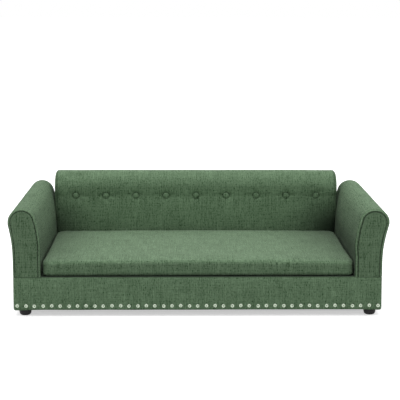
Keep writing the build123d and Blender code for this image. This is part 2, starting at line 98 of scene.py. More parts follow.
def objectMode():
    bpy.ops.object.mode_set(mode="OBJECT")


def selectVerts(piece, rule):
    # selects the points for which the rule holds, and what they span
    editMode("VERT")
    objectMode()
    for vertex in piece.data.vertices:
        vertex.select = rule(vertex.co)
    bpy.ops.object.mode_set(mode="EDIT")
    bpy.ops.mesh.select_mode(type="VERT")


def selectEdges(piece, rule):
    editMode("EDGE")
    objectMode()
    points = piece.data.vertices
    for edge in piece.data.edges:
        edge.select = rule(points[edge.vertices[0]].co, points[edge.vertices[1]].co)
    bpy.ops.object.mode_set(mode="EDIT")


def selectFaces(piece, rule):
    editMode("FACE")
    objectMode()
    for face in piece.data.polygons:
        face.select = rule(face.center, face.normal)
    bpy.ops.object.mode_set(mode="EDIT")


def readRows(rows, kind):
    flat = np.zeros(len(rows) * 3)
    rows.foreach_get(kind, flat)
    return flat.reshape(-1, 3)


def readPoints(mesh):
    return readRows(mesh.vertices, "co")


def readNormals(mesh):
    return readRows(mesh.vertices, "normal")


def writePoints(mesh, points):
    mesh.vertices.foreach_set("co", points.ravel())
    mesh.update()


def applyModifier(piece, kind, **values):
    pick(piece)
    modifier = piece.modifiers.new(kind.lower(), kind)
    for name, value in values.items():
        setattr(modifier, name, value)
    bpy.ops.object.modifier_apply(modifier=modifier.name)


def faceOutward(piece):
    # closes the seams that sweeping leaves, then turns every face out
    pick(piece)
    editAll()
    bpy.ops.mesh.remove_doubles(threshold=2 * hair)
    bpy.ops.mesh.normals_make_consistent(inside=False)
    objectMode()


def smoothShade(piece, angle=40):
    pick(piece)
    bpy.ops.object.shade_smooth_by_angle(angle=math.radians(angle))


def mirrorCopy(piece, name):
    # the same piece for the left side of the sofa
    twin = piece.copy()
    twin.data = piece.data.copy()
    twin.name = name
    twin.data.name = name
    scene.collection.objects.link(twin)
    points = readPoints(twin.data)
    points[:, 0] *= -1
    writePoints(twin.data, points)
    pick(twin)
    editAll()
    bpy.ops.mesh.flip_normals()
    objectMode()
    return twin


def joinPieces(pieces, name):
    deselectAll()
    for piece in pieces:
        piece.select_set(True)
    bpy.context.view_layer.objects.active = pieces[0]
    bpy.ops.object.join()
    pieces[0].name = name
    pieces[0].data.name = name
    return pieces[0]


def softNoise(points, size, seed):
    # smooth noise from -1 to 1 at each point, with lumps of about this size
    scaled = points / size + seed
    return np.array([noise.noise(Vector(point)) for point in scaled])


def unevenCloth(piece, size, height, seed, proud=0.0):
    # hand-laid padding is never quite even, and proud lifts all of it
    points = readPoints(piece.data)
    lift = softNoise(points, size, seed) * height + proud
    writePoints(piece.data, points + readNormals(piece.data) * lift[:, None])


def paintShade(piece, amount):
    # painted shade: darkens the cloth by this share where shade falls, in seams, round buttons and deep in the seat
    mesh = piece.data
    layer = mesh.attributes.get("shade") or mesh.attributes.new("shade", "FLOAT", "POINT")
    old = np.zeros(len(mesh.vertices))
    layer.data.foreach_get("value", old)
    layer.data.foreach_set("value", np.clip(np.maximum(old, amount), 0, 1))


def ramp(values, length):
    # grows from 0 to 1 over this length
    return np.clip(values / length, 0, 1)


def softStep(values, low, high):
    share = ramp(values - low, high - low)
    return share ** 2 * (3 - 2 * share)


def bell(away, spread):
    # 1 in the middle, and next to nothing at twice the spread
    return np.exp(-(away / spread) ** 2)


def bySide(points, pair):
    # the first value on the left of the sofa and the second on its right
    return np.where(points[:, 0] > 0, pair[1], pair[0])


def layWeave(piece, rule=None):
    # gives the cloth its own map in metres, so that threads keep their size and run straight
    mesh = piece.data
    layer = mesh.uv_layers.get("weave") or mesh.uv_layers.new(name="weave")
    points = readPoints(mesh)
    corners = np.zeros(len(mesh.loops), dtype=np.int64)
    mesh.loops.foreach_get("vertex_index", corners)
    cornerCounts = np.zeros(len(mesh.polygons), dtype=np.int64)
    mesh.polygons.foreach_get("loop_total", cornerCounts)
    normals = np.repeat(readRows(mesh.polygons, "normal"), cornerCounts, axis=0)
    places = points[corners]
    steep = np.abs(normals)
    across = np.where(steep[:, 0] > np.maximum(steep[:, 1], steep[:, 2]), places[:, 1], places[:, 0])
    along = np.where(steep[:, 2] > np.maximum(steep[:, 0], steep[:, 1]), places[:, 1], places[:, 2])
    if rule:
        across, along = rule(places, normals, across, along)
    layer.data.foreach_set("uv", np.stack([across, along], axis=1).ravel())
    mesh.uv_layers.active = layer


def dress(piece, body, slot, material, *cadNames):
    # the finished piece gets its material and its body, and the nodes it stands for are hidden
    piece.data.materials.clear()
    piece.data.materials.append(material)
    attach(piece, body)
    if cadNames:
        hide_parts(*cadNames)
    return piece


# materials

def linear(*screenColour):
    # a colour as a screen counts it, from 0 to 255, turned into light
    shares = [part / 255 for part in screenColour]
    return tuple(((s + 0.055) / 1.055) ** 2.4 if s > 0.04 else s / 12.92 for s in shares) + (1,)


def startMaterial(name):
    material = bpy.data.materials.new(name)
    material.use_nodes = True
    tree = material.node_tree
    return material, tree, tree.nodes["Principled BSDF"]


def addNode(tree, kind, **values):
    # values go to the sockets of that name, or else to the node itself
    node = tree.nodes.new(kind)
    for name, value in values.items():
        if name in node.inputs:
            node.inputs[name].default_value = value
        else:
            setattr(node, name, value)
    return node


def mathNode(tree, operation, first, second=None, third=None):
    node = tree.nodes.new("ShaderNodeMath")
    node.operation = operation
    for socket, value in zip(node.inputs, (first, second, third)):
        if value is None:
            continue
        if isinstance(value, (int, float)):
            socket.default_value = value
        else:
            tree.links.new(value, socket)
    return node.outputs[0]


def mixColours(tree, factor, *colours):
    # from the first colour to the second, where either may come from another node
    mix = addNode(tree, "ShaderNodeMix", data_type="RGBA", clamp_factor=True)
    tree.links.new(factor, mix.inputs["Factor"])
    for name, colour in zip("AB", colours):
        if isinstance(colour, tuple):
            mix.inputs[name].default_value = linear(*colour)
        else:
            tree.links.new(colour, mix.inputs[name])
    return mix.outputs["Result"]


def streakNoise(tree, coordinates, width, length, detail=2):
    # noise drawn out into threads of this width and length
    mapping = addNode(tree, "ShaderNodeMapping", Scale=(1 / width, 1 / length, 1))
    tree.links.new(coordinates, mapping.inputs["Vector"])
    texture = addNode(tree, "ShaderNodeTexNoise", noise_dimensions="2D", Scale=1.0, Detail=detail,
                      Roughness=0.55)
    tree.links.new(mapping.outputs[0], texture.inputs["Vector"])
    return texture.outputs[0]


linen = {
    "dark": (54, 80, 52), "light": (140, 169, 135),   # yarn colours, from shade to light
    "thread": 0.0012,                                 # one warp and one weft yarn
    # width and length of each kind of streak, and its share of the colour
    "streaks": {
        "fine": (0.0014, 0.010, 0.50), "slub": (0.0026, 0.028, 0.54), "long": (0.0030, 0.11, 0.50),
        "cross": (0.014, 0.0022, 0.46), "longCross": (0.09, 0.0030, 0.36), "mottle": (0.045, 0.07, 0.24),
    },
    "yarnShare": 0.30, "middle": 0.36,
    "fleck": (0.0030, 0.007), "fleckShare": -0.26, "fleckFrom": 0.70,   # stray dark yarn ends
    "bump": 0.00030, "bumpStrength": 0.6, "slubHeight": 1.6,            # a yarn's own height is 1
    "roughness": 0.92, "roughnessSpread": 0.12, "specular": 0.15,
    "sheen": 0.10, "sheenSpread": 0.5, "sheenTint": (196, 206, 192),
    # the colour that painted shade darkens the cloth towards
    "seam": (22, 34, 22),
}


def linenMaterial(name, values):
    material, tree, shader = startMaterial(name)
    links = tree.links
    weave = addNode(tree, "ShaderNodeUVMap", uv_map="weave").outputs[0]
    # how far each yarn stands from the middle colour, thread by thread
    streaks = {}
    mix = None
    for kind, (width, length, share) in values["streaks"].items():
        streaks[kind] = streakNoise(tree, weave, width, length)
        part = mathNode(tree, "MULTIPLY_ADD", streaks[kind], share, -share / 2)
        mix = part if mix is None else mathNode(tree, "ADD", mix, part)
    speck = streakNoise(tree, weave, *values["fleck"], detail=0)
    fleck = mathNode(tree, "GREATER_THAN", speck, values["fleckFrom"])
    mix = mathNode(tree, "MULTIPLY_ADD", fleck, values["fleckShare"], mix)
    # plain weave: each yarn rises over its neighbour in turn
    apart = addNode(tree, "ShaderNodeSeparateXYZ")
    links.new(weave, apart.inputs[0])
    turn = math.pi / values["thread"]
    warp = mathNode(tree, "SINE", mathNode(tree, "MULTIPLY", apart.outputs[0], turn))
    weft = mathNode(tree, "SINE", mathNode(tree, "MULTIPLY", apart.outputs[1], turn))
    yarn = mathNode(tree, "ABSOLUTE", mathNode(tree, "MULTIPLY", warp, weft))
    raised = mathNode(tree, "MULTIPLY_ADD", yarn, values["yarnShare"], values["middle"])
    mix = mathNode(tree, "ADD", mix, raised)
    colour = mixColours(tree, mix, values["dark"], values["light"])
    # painted shade: the cloth is darker where paintShade says so
    shade = addNode(tree, "ShaderNodeAttribute", attribute_name="shade").outputs["Fac"]
    darker = mixColours(tree, shade, colour, values["seam"])
    links.new(darker, shader.inputs["Base Color"])
    height = mathNode(tree, "MULTIPLY_ADD", streaks["slub"], values["slubHeight"], yarn)
    height = mathNode(tree, "ADD", streaks["cross"], height)
    bump = addNode(tree, "ShaderNodeBump", Strength=values["bumpStrength"], Distance=values["bump"])
    links.new(height, bump.inputs["Height"])
    links.new(bump.outputs[0], shader.inputs["Normal"])
    spread = values["roughnessSpread"]
    dull = mathNode(tree, "MULTIPLY_ADD", streaks["slub"], -spread, values["roughness"] + spread / 2)
    links.new(dull, shader.inputs["Roughness"])
    shader.inputs["Specular IOR Level"].default_value = values["specular"]
    shader.inputs["Sheen Weight"].default_value = values["sheen"]
    shader.inputs["Sheen Roughness"].default_value = values["sheenSpread"]
    shader.inputs["Sheen Tint"].default_value = linear(*values["sheenTint"])
    return material


mottle = {"detail": 3.0, "crumble": 0.6, "roughnessSpread": 0.08, "bump": 0.0001, "bumpStrength": 0.5}


def plainMaterial(name, dark, light, grain, roughness, metallic=0.0, specular=0.5, stretch=(1, 1, 1)):
    # a mottled colour on object coordinates, for moulded, sawn and plated pieces and plain linings
    material, tree, shader = startMaterial(name)
    place = addNode(tree, "ShaderNodeTexCoord").outputs["Object"]
    mapping = addNode(tree, "ShaderNodeMapping", Scale=tuple(s / grain for s in stretch))
    tree.links.new(place, mapping.inputs["Vector"])
    texture = addNode(tree, "ShaderNodeTexNoise", Scale=1.0, Detail=mottle["detail"], Roughness=mottle["crumble"])
    tree.links.new(mapping.outputs[0], texture.inputs["Vector"])
    tree.links.new(mixColours(tree, texture.outputs[0], dark, light), shader.inputs["Base Color"])
    dull = addNode(tree, "ShaderNodeMapRange")
    dull.inputs["To Min"].default_value = roughness - mottle["roughnessSpread"]
    dull.inputs["To Max"].default_value = roughness + mottle["roughnessSpread"]
    tree.links.new(texture.outputs[0], dull.inputs["Value"])
    tree.links.new(dull.outputs[0], shader.inputs["Roughness"])
    relief = addNode(tree, "ShaderNodeBump", Strength=mottle["bumpStrength"], Distance=mottle["bump"])
    tree.links.new(texture.outputs[0], relief.inputs["Height"])
    tree.links.new(relief.outputs[0], shader.inputs["Normal"])
    shader.inputs["Metallic"].default_value = metallic
    shader.inputs["Specular IOR Level"].default_value = specular
    return material


# one cloth all over, but the seat is rubbed, the base is a lighter copy with painted light, and the welt a lighter
# copy with a painted highlight
linenCloth = linenMaterial("green linen", linen)
seatCloth = linenMaterial("green linen of the seat", {**linen, "sheen": 0.26})
baseClothPaintedLight = linenMaterial("green linen of the base with painted light", {**linen, "dark": (57, 85, 55), "light": (149, 180, 144)})
weltClothPaintedHighlight = linenMaterial("green linen of the welt with painted highlight", {**linen, "dark": (66, 94, 63), "light": (156, 186, 151)})
# the other finishes: name, darkest and lightest colour, size of the grain, roughness
blackLining = plainMaterial("black dust cloth", (14, 14, 14), (30, 30, 30), 0.002, 0.95)
deckLining = plainMaterial("green deck lining", (34, 46, 33), (48, 62, 46), 0.002, 0.95)
seatFoam = plainMaterial("seat foam", (205, 196, 160), (226, 219, 188), 0.004, 0.95)
sawnTimber = plainMaterial("sawn timber", (158, 122, 80), (198, 164, 118), 0.012, 0.75, stretch=(0.15, 1, 1))
deckPlywood = plainMaterial("deck plywood", (160, 124, 82), (190, 155, 108), 0.02, 0.7, stretch=(0.2, 1, 1))
footPlastic = plainMaterial("black foot plastic", (8, 7, 8), (18, 16, 18), 0.0015, 0.5, specular=0.3)
platedSteel = plainMaterial("plated steel", (140, 140, 142), (176, 176, 178), 0.006, 0.35, metallic=1.0)
nailMetal = plainMaterial("pale nickel nails", (182, 194, 176), (204, 214, 197), 0.003, 0.46, metallic=1.0)
tieTwine = plainMaterial("waxed twine", (176, 170, 152), (206, 200, 182), 0.001, 0.7)
zipTapeCloth = plainMaterial("zip tape", (50, 66, 48), (76, 94, 72), 0.001, 0.85)
sliderEnamel = plainMaterial("slider enamel", (48, 64, 46), (64, 82, 60), 0.004, 0.4)

nail = {
    "count": 43, "pitch": 0.0254, "astray": 0.0007,
    "radius": 0.0056, "height": 0.0026, "rim": 0.0003, "steps": 6, "sides": 20,
    "under": ((0.92, -0.0003), (0, -0.0006)),                      # share of the radius, and level
    "press": 0.0009, "pressSpread": 0.008, "pressDepth": 0.006,    # how the cloth gives way
    # painted reflection: each head darker in its middle, over this reach and in this colour
    "darkCentre": (0.0010, 0.0034), "darkCentreColour": (104, 124, 100),       # out from the middle of the head
}
nailLow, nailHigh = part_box("nail_trim")
nailZ = (nailLow.z + nailHigh.z) / 2


def paintNailReflections(material):
    # painted reflection: every head is darker in the middle
    tree = material.node_tree
    pitch = nail["pitch"]
    shader = tree.nodes["Principled BSDF"]
    apart = addNode(tree, "ShaderNodeSeparateXYZ")
    tree.links.new(addNode(tree, "ShaderNodeTexCoord").outputs["Object"], apart.inputs[0])
    # counted in pitches the fraction is a half at each head, and 100 more keep it above zero
    place = mathNode(tree, "FRACT", mathNode(tree, "MULTIPLY_ADD", apart.outputs[0], 1 / pitch, 100.5))
    aside = mathNode(tree, "MULTIPLY_ADD", place, pitch, -pitch / 2)
    above = mathNode(tree, "SUBTRACT", apart.outputs[2], nailZ)
    away = mathNode(tree, "SQRT", mathNode(tree, "ADD", mathNode(tree, "MULTIPLY", aside, aside),
                                           mathNode(tree, "MULTIPLY", above, above)))
    darkCentre = addNode(tree, "ShaderNodeMapRange")
    darkCentre.inputs["From Min"].default_value, darkCentre.inputs["From Max"].default_value = nail["darkCentre"]
    tree.links.new(away, darkCentre.inputs["Value"])
    polished = shader.inputs["Base Color"].links[0].from_socket
    colour = mixColours(tree, darkCentre.outputs[0], nail["darkCentreColour"], polished)
    tree.links.new(colour, shader.inputs["Base Color"])


paintNailReflections(nailMetal)
print("materials made")


# the CAD pieces that keep their own shape

slotFinishes = {
    "upholstery": linenCloth, "lining": blackLining, "foam": seatFoam, "timber": sawnTimber,
    "plywood": deckPlywood, "foot_plastic": footPlastic, "plated_steel": platedSteel, "nail_metal": nailMetal,
    "nylon": tieTwine, "zip_tape": zipTapeCloth, "slider_metal": sliderEnamel,
}
for part in frame["record"]["subparts"]:
    mesh = cadNodes[part["node"]].data
    mesh.materials.clear()
    mesh.materials.append(slotFinishes[part["material_slot"]])


# camera, placed where the photograph was taken

camera = {
    "lens": 117.0, "film": 36.0, "reach": 50.0,   # millimetres, but the reach in metres
    "place": (-0.0488, -4.0543, 0.9452), "pitch": 0.1576, "yaw": 0.0143, "roll": 0.0015,
}
view = bpy.data.cameras.new("camera")
view.lens = camera["lens"]
view.sensor_width = camera["film"]
view.clip_end = camera["reach"]
eye = bpy.data.objects.new("camera", view)
eye.location = camera["place"]
eye.rotation_euler = (math.pi / 2 - camera["pitch"], -camera["roll"], -camera["yaw"])
scene.collection.objects.link(eye)
scene.camera = eye
scene.view_settings.view_transform = "Standard"


# light and floor

studio = {
    "sun": {"strength": 0.76, "spread": 40, "tilt": 6},   # degrees, the tilt towards the front
    "sky": 0.86, "bounce": 0.10,                          # what the air and the floor give back
    "glow": 0.52, "paint": 0.98, "floor": 120,            # how the floor shows itself, and its size
}
white = (1, 1, 1, 1)

sun = bpy.data.lights.new("overhead light", "SUN")
sun.energy = studio["sun"]["strength"]
sun.angle = math.radians(studio["sun"]["spread"])
sunHolder = bpy.data.objects.new("overhead light", sun)
sunHolder.rotation_euler = (math.radians(studio["sun"]["tilt"]), 0, 0)
scene.collection.objects.link(sunHolder)


def splitSight(tree, lighting, seen, output):
    # one shader lights the sofa, and the other is what the camera, metal and glass see
    rays = tree.nodes.new("ShaderNodeLightPath")
    choose = tree.nodes.new("ShaderNodeMixShader")
    sight = mathNode(tree, "ADD", rays.outputs["Is Camera Ray"], rays.outputs["Is Glossy Ray"])
    sight = mathNode(tree, "ADD", sight, rays.outputs["Is Transmission Ray"])
    tree.links.new(sight, choose.inputs[0])
    tree.links.new(lighting.outputs[0], choose.inputs[1])
    tree.links.new(seen.outputs[0], choose.inputs[2])
    tree.links.new(choose.outputs[0], tree.nodes[output].inputs[0])


sky = bpy.data.worlds.new("studio sky")
scene.world = sky
sky.use_nodes = True
skyTree = sky.node_tree
lit = skyTree.nodes["Background"]
lit.inputs["Color"].default_value = white
lit.inputs["Strength"].default_value = studio["sky"]
backdrop = skyTree.nodes.new("ShaderNodeBackground")
backdrop.inputs["Color"].default_value = white
splitSight(skyTree, lit, backdrop, "World Output")

deselectAll()
bpy.ops.mesh.primitive_plane_add(size=studio["floor"], location=(0, 0, 0))
floor = newPiece("floor")
floorPaint, floorTree, floorShader = startMaterial("white floor")
floorShader.inputs["Base Color"].default_value = (studio["paint"],) * 3 + (1,)
floorShader.inputs["Roughness"].default_value = 1.0
floorShader.inputs["Specular IOR Level"].default_value = 0.0
floorShader.inputs["Emission Color"].default_value = white
floorShader.inputs["Emission Strength"].default_value = studio["glow"]
dim = floorTree.nodes.new("ShaderNodeBsdfDiffuse")
dim.inputs["Color"].default_value = (studio["bounce"],) * 3 + (1,)
splitSight(floorTree, dim, floorShader, "Material Output")
floor.data.materials.append(floorPaint)
print("camera, light and floor set")


# swelling of padded cloth

blow = {"pressure": 4.0, "quality": 5, "frames": 20, "smoothing": 3}


def remesh(piece, cell):
    pick(piece)
    piece.data.remesh_voxel_size = cell
    bpy.ops.object.voxel_remesh()


def swell(piece, voxel, cap, held):
    # remeshed evenly, the cloth is blown up, and each point may move only as far as the cap
    remesh(piece, voxel)
    before = readPoints(piece.data)
    cloth = piece.modifiers.new("cloth", "CLOTH")
    cloth.settings.use_pressure = True
    cloth.settings.uniform_pressure_force = blow["pressure"]
    cloth.settings.effector_weights.gravity = 0
    cloth.settings.quality = blow["quality"]
    cloth.point_cache.frame_start = 1
    cloth.point_cache.frame_end = blow["frames"]
    group = piece.vertex_groups.new(name="held")
    group.add([int(i) for i in np.nonzero(held(before))[0]], 1.0, "REPLACE")
    cloth.settings.vertex_group_mass = "held"
    for step in range(blow["frames"]):
        scene.frame_set(step + 1)
    blown = piece.evaluated_get(bpy.context.evaluated_depsgraph_get())
    move = readPoints(blown.data) - before
    distance = np.linalg.norm(move, axis=1)
    share = np.minimum(1.0, cap / np.maximum(distance, hair))
    piece.modifiers.clear()
    piece.vertex_groups.clear()
    scene.frame_set(1)
    writePoints(piece.data, before + move * share[:, None])
    print(piece.name, "swelled, most", round(float(distance.max()) * 1000, 1), "mm")
    applyModifier(piece, "SMOOTH", factor=0.5, iterations=blow["smoothing"])
    applyModifier(piece, "SUBSURF", levels=1, render_levels=1)


def keepOver(piece, cadNode, gap):
    # the cloth stays outside what it is stuffed with
    applyModifier(piece, "SHRINKWRAP", target=cadNodes[cadNode], offset=gap,
                  wrap_method="NEAREST_SURFACEPOINT", wrap_mode="OUTSIDE")


# seat cushion

cushion = {
    "corner": 0.024, "edge": 0.008, "lowEdge": 0.005, "shrink": 0.001,         # before it is blown up
    "voxel": 0.0067, "cap": 0.003, "fuller": 0.006, "room": 0.0065,            # its ends press on the arms
    "crown": 0.006, "endFall": 0.003, "drawIn": 0.004, "frontDrawIn": 0.002,
    "cornerFall": 0.006, "cornerFrom": (0.93, 0.88), "cornerFloor": 0.015,
    "pillow": 0.014, "pillowFade": (0.03, 0.10),                               # the round front corners
    "ridge": 0.0046, "ridgeSpread": 0.0048, "waver": 0.25, "waverSize": 0.02,  # the seam along the top
    "lumps": ((0.16, 0.0016, 3.0), (0.045, 0.0005, 9.0)),                      # size, height and seed
    "foamGap": 0.0008, "floorGap": 0.0003,
    "slit": {"depth": 0.004, "half": 0.0085, "gap": 0.0003},                   # round the zip
    # painted shade along the hem, towards the rear and towards each end
    "hemShade": 0.7, "hemReach": 0.004, "rearShade": 0.14, "rearReach": 0.05,
    "endShade": (0.50, 0.62), "endReach": (0.10, 0.14), "frontShare": 0.35,      # left end and right end
    "fade": (-0.01, 0.004),                                                    # round the top's edge
}
zipLow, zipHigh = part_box("cushion_zip")
zipZ = (zipLow.z + zipHigh.z) / 2


def makeCushion():
    low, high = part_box("cushion_cover")
    centre = (low + high) / 2
    half = (high - low) / 2
    shrink = cushion["shrink"]
    shoulder = high.z - cushion["crown"] - cushion["endFall"]
    deselectAll()
    bpy.ops.mesh.primitive_cube_add(size=2, location=(centre.x, centre.y, (low.z + shoulder) / 2))
    piece = bpy.context.active_object
    piece.scale = (half.x + cushion["fuller"], half.y - shrink, (shoulder - low.z) / 2 - shrink / 2)
    newPiece("seatCushion")
    selectEdges(piece, lambda a, b: abs(a.x - b.x) < hair and abs(a.y - b.y) < hair)
    bpy.ops.mesh.bevel(offset=cushion["corner"], segments=6, affect="EDGES")
    for level, width in ((low.z, cushion["lowEdge"]), (shoulder, cushion["edge"])):
        selectEdges(piece, lambda a, b: abs(a.z - b.z) < hair and abs(a.z - level) < 0.01)
        bpy.ops.mesh.bevel(offset=width, segments=4, affect="EDGES")
        objectMode()
    swell(piece, cushion["voxel"], cushion["cap"], held=lambda p: p[:, 2] < low.z + shrink)
    shapeCushion(piece, low, centre, half, shoulder)
    for size, height, seed in cushion["lumps"]:
        unevenCloth(piece, size, height, seed)
    keepOver(piece, "cushion_foam", cushion["foamGap"])
    points = readPoints(piece.data)
    points[:, 0] = np.clip(points[:, 0], low.x - cushion["room"], high.x + cushion["room"])
    points[:, 1] = np.minimum(points[:, 1], high.y)
    slit = cushion["slit"]
    cutOut = (points[:, 1] > high.y - slit["depth"]) & (np.abs(points[:, 0]) < zipHigh.x)
    cutOut &= np.abs(points[:, 2] - zipZ) < slit["half"]
    points[:, 1] = np.where(cutOut, np.minimum(points[:, 1], zipLow.y + slit["gap"]), points[:, 1])
    writePoints(piece.data, points)
    shadeCushion(piece, points, low, high, shoulder)
    layWeave(piece)
    smoothShade(piece, 60)
    return dress(piece, "seat_cushion", "upholstery", seatCloth, "cushion_cover")


def shapeCushion(piece, low, centre, half, shoulder):
    points = readPoints(piece.data)
    across = np.clip((points[:, 0] - centre.x) / half.x, -1, 1)
    along = np.clip((points[:, 1] - centre.y) / half.y, -1, 1)
    rise = ramp(points[:, 2] - low.z, shoulder - low.z)
    # the ends and the front pull in
    points[:, 0] -= across ** 3 * (1 - along ** 2) * cushion["drawIn"]
    points[:, 1] += np.clip(-along, 0, 1) ** 3 * (1 - across ** 2) * cushion["frontDrawIn"]
    # the seam along the top edge stands up a little, and wavers
    widest = half.x + cushion["fuller"]
    gap = np.minimum(widest - np.abs(points[:, 0] - centre.x), half.y - np.abs(points[:, 1] - centre.y))
    nearSeam = np.exp(-(gap ** 2 + (points[:, 2] - shoulder) ** 2) / cushion["ridgeSpread"] ** 2)
    waver = 1 + cushion["waver"] * softNoise(points, cushion["waverSize"], 11.0)
    points += readNormals(piece.data) * (cushion["ridge"] * nearSeam * waver)[:, None]
    # the top's four corners sink
    fromX, fromY = cushion["cornerFrom"]
    corner = softStep(np.abs(across), fromX, 1.0) * softStep(np.abs(along), fromY, 1.0)
    fall = cushion["cornerFall"] * corner * softStep(points[:, 2], low.z + cushion["cornerFloor"], shoulder)
    points[:, 2] -= fall
    # the front corners are round at the top and at the bottom, as on a pillow
    bend = cushion["pillow"]
    near, far = cushion["pillowFade"]
    toFront = 1 - softStep(points[:, 1], low.y + near, low.y + far)
    for level, way in ((low.z, 1), (shoulder, -1)):
        inX = widest - bend - np.abs(points[:, 0] - centre.x)
        inZ = way * (points[:, 2] - level) - bend
        beyond = np.hypot(inX, inZ)
        share = np.where((inX < 0) & (inZ < 0) & (beyond > bend), bend / np.maximum(beyond, hair), 1)
        points[:, 0] += np.sign(points[:, 0] - centre.x) * inX * (1 - share) * toFront
        points[:, 2] -= way * inZ * (1 - share) * toFront
    # and the top is crowned
    arch = cushion["crown"] * (1 - along ** 2) + cushion["endFall"] * (1 - across ** 2)
    points[:, 2] = np.maximum(points[:, 2] + arch * rise, low.z + cushion["floorGap"])
    writePoints(piece.data, points)


def shadeCushion(piece, points, low, high, shoulder):
    # painted shade: darker along the hem, and deep in the seat towards the arms and the rear
    paintShade(piece, cushion["hemShade"] * bell(points[:, 2] - low.z, cushion["hemReach"]))
    toArm = high.x + cushion["room"] - np.abs(points[:, 0])
    toRear = cushion["frontShare"] + (1 - cushion["frontShare"]) * softStep(points[:, 1], low.y, high.y)
    deep = bySide(points, cushion["endShade"]) * bell(toArm, bySide(points, cushion["endReach"])) * toRear
    deep += cushion["rearShade"] * bell(high.y - points[:, 1], cushion["rearReach"])
    below, above = cushion["fade"]
    paintShade(piece, deep * softStep(points[:, 2], shoulder + below, shoulder + above))


makeCushion()
print("seat cushion made")


# zip in the rear band: two tapes, two rows of teeth and a slider without a tab

zipper = {
    "tape": 0.006, "tapeStart": 0.6, "tapeDrop": 0.0012, "tapeRound": 0.0003,
    "chain": 0.005, "pitch": 0.0052, "margin": 0.004,                 # the two rows of teeth together
    "tooth": (0.0018, 0.0013, 0.0026), "sunk": 0.0002, "grip": 0.0006, "round": 0.0004,
    "stop": (0.0024, 0.0016, 0.0060), "stopInset": 0.0015,            # width, depth and height
}


def blockPiece(name, low, high):
    # a plain block between two corners
    deselectAll()
    bpy.ops.mesh.primitive_cube_add(size=1, location=(low + high) / 2)
    bpy.context.active_object.scale = high - low
    return newPiece(name)


def barPiece(name, low, high, bevel):
    # a bar between two corners, its edges broken
    piece = blockPiece(name, Vector(low), Vector(high))
    editAll()
    bpy.ops.mesh.bevel(offset=bevel, segments=2, affect="EDGES")
    objectMode()
    return piece


def makeZip():
    bars = []
    half = zipper["chain"] / 2
    wide, deep, tall = zipper["tooth"]
    top = zipHigh.y
    for side in (-1, 1):
        near, far = sorted((zipZ + side * half * zipper["tapeStart"], zipZ + side * (half + zipper["tape"])))
        bars.append(barPiece("tape", (zipLow.x, zipLow.y, near), (zipHigh.x, top - zipper["tapeDrop"], far),
                             zipper["tapeRound"]))
        # teeth of the two tapes stand in each other's gaps
        x = zipLow.x + zipper["margin"] + zipper["pitch"] / 4 * side
        near, far = sorted((zipZ - side * zipper["grip"], zipZ + side * tall))
        tooth = barPiece("tooth", (x - wide / 2, top - deep - zipper["sunk"], near), (x + wide / 2, top, far),
                         zipper["round"])
        count = int((zipHigh.x - zipLow.x - 2 * zipper["margin"]) / zipper["pitch"])
        applyModifier(tooth, "ARRAY", count=count, use_relative_offset=False, use_constant_offset=True,
                      constant_offset_displace=(zipper["pitch"], 0, 0))
        bars.append(tooth)
    wide, deep, tall = zipper["stop"]
    for x in (zipLow.x + zipper["stopInset"], zipHigh.x - zipper["stopInset"]):
        bars.append(barPiece("stop", (x - wide / 2, top - deep, zipZ - tall / 2), (x + wide / 2, top, zipZ + tall / 2),
                             zipper["round"]))
    piece = joinPieces(bars, "cushionZip")
    smoothShade(piece)
    return dress(piece, "seat_cushion", "zip_tape", zipTapeCloth, "cushion_zip")


slider = {
    "roof": 0.0013, "round": 0.0005, "lap": 0.0004,
    "flange": 0.0012, "flangeInset": 0.0006, "flangeRound": 0.0003,
    "bridge": 0.0022, "bridgeInsets": (0.0025, 0.0035), "bridgeRise": 0.0012,
}


def makeSlider():
    low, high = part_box("zip_slider")
    roof = high.y - slider["roof"]
    bars = [barPiece("zipSlider", (low.x, roof, low.z), (high.x, high.y, high.z), slider["round"])]
    # a flange at each side reaches down past the teeth
    for side in (-1, 1):
        edge = zipZ + side * (high.z - low.z) / 2
        near, far = sorted((edge, edge - side * slider["flange"]))
        inset = slider["flangeInset"]
        bars.append(barPiece("flange", (low.x + inset, low.y, near), (high.x - inset, roof + slider["lap"], far),
                             slider["flangeRound"]))
    first, last = slider["bridgeInsets"]
    bars.append(barPiece("bridge", (low.x + first, high.y - slider["lap"], zipZ - slider["bridge"] / 2),
                         (high.x - last, high.y + slider["bridgeRise"], zipZ + slider["bridge"] / 2), slider["round"]))
    piece = joinPieces(bars, "zipSlider")
    smoothShade(piece)
    return dress(piece, "zip_slider", "slider_metal", sliderEnamel, "zip_slider")


makeZip()
makeSlider()
print("zip made")


# the route round an arm, from its inner foot over the roll to its outer foot

arm = {
    "rollRadius": 0.040, "swellRise": 0.060, "waistRise": 0.045,   # the upright parts inside and outside
    "innerSteps": 12, "rollSteps": 30, "outerSteps": 9,
}
armLow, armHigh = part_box("arm_cover_right")
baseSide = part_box("base_cover_side_right")[1].x
rollCentre = Vector((armHigh.x - arm["rollRadius"], 0, armHigh.z - arm["rollRadius"]))


def tangentRadius(across, rise, radius):
    # the arc that leaves an upright line and runs into the roll
    return (across ** 2 + rise ** 2 - radius ** 2) / (2 * (across - radius))


innerRadius = tangentRadius(rollCentre.x - armLow.x, rollCentre.z - armLow.z - arm["swellRise"], arm["rollRadius"])
outerRadius = -tangentRadius(baseSide - rollCentre.x, rollCentre.z - armLow.z - arm["waistRise"], arm["rollRadius"])
innerCentre = Vector((armLow.x + innerRadius, 0, armLow.z + arm["swellRise"]))
outerCentre = Vector((baseSide + outerRadius, 0, armLow.z + arm["waistRise"]))
innerTurn = math.atan2(rollCentre.z - innerCentre.z, innerCentre.x - rollCentre.x)
outerTurn = math.atan2(rollCentre.z - outerCentre.z, outerCentre.x - rollCentre.x)


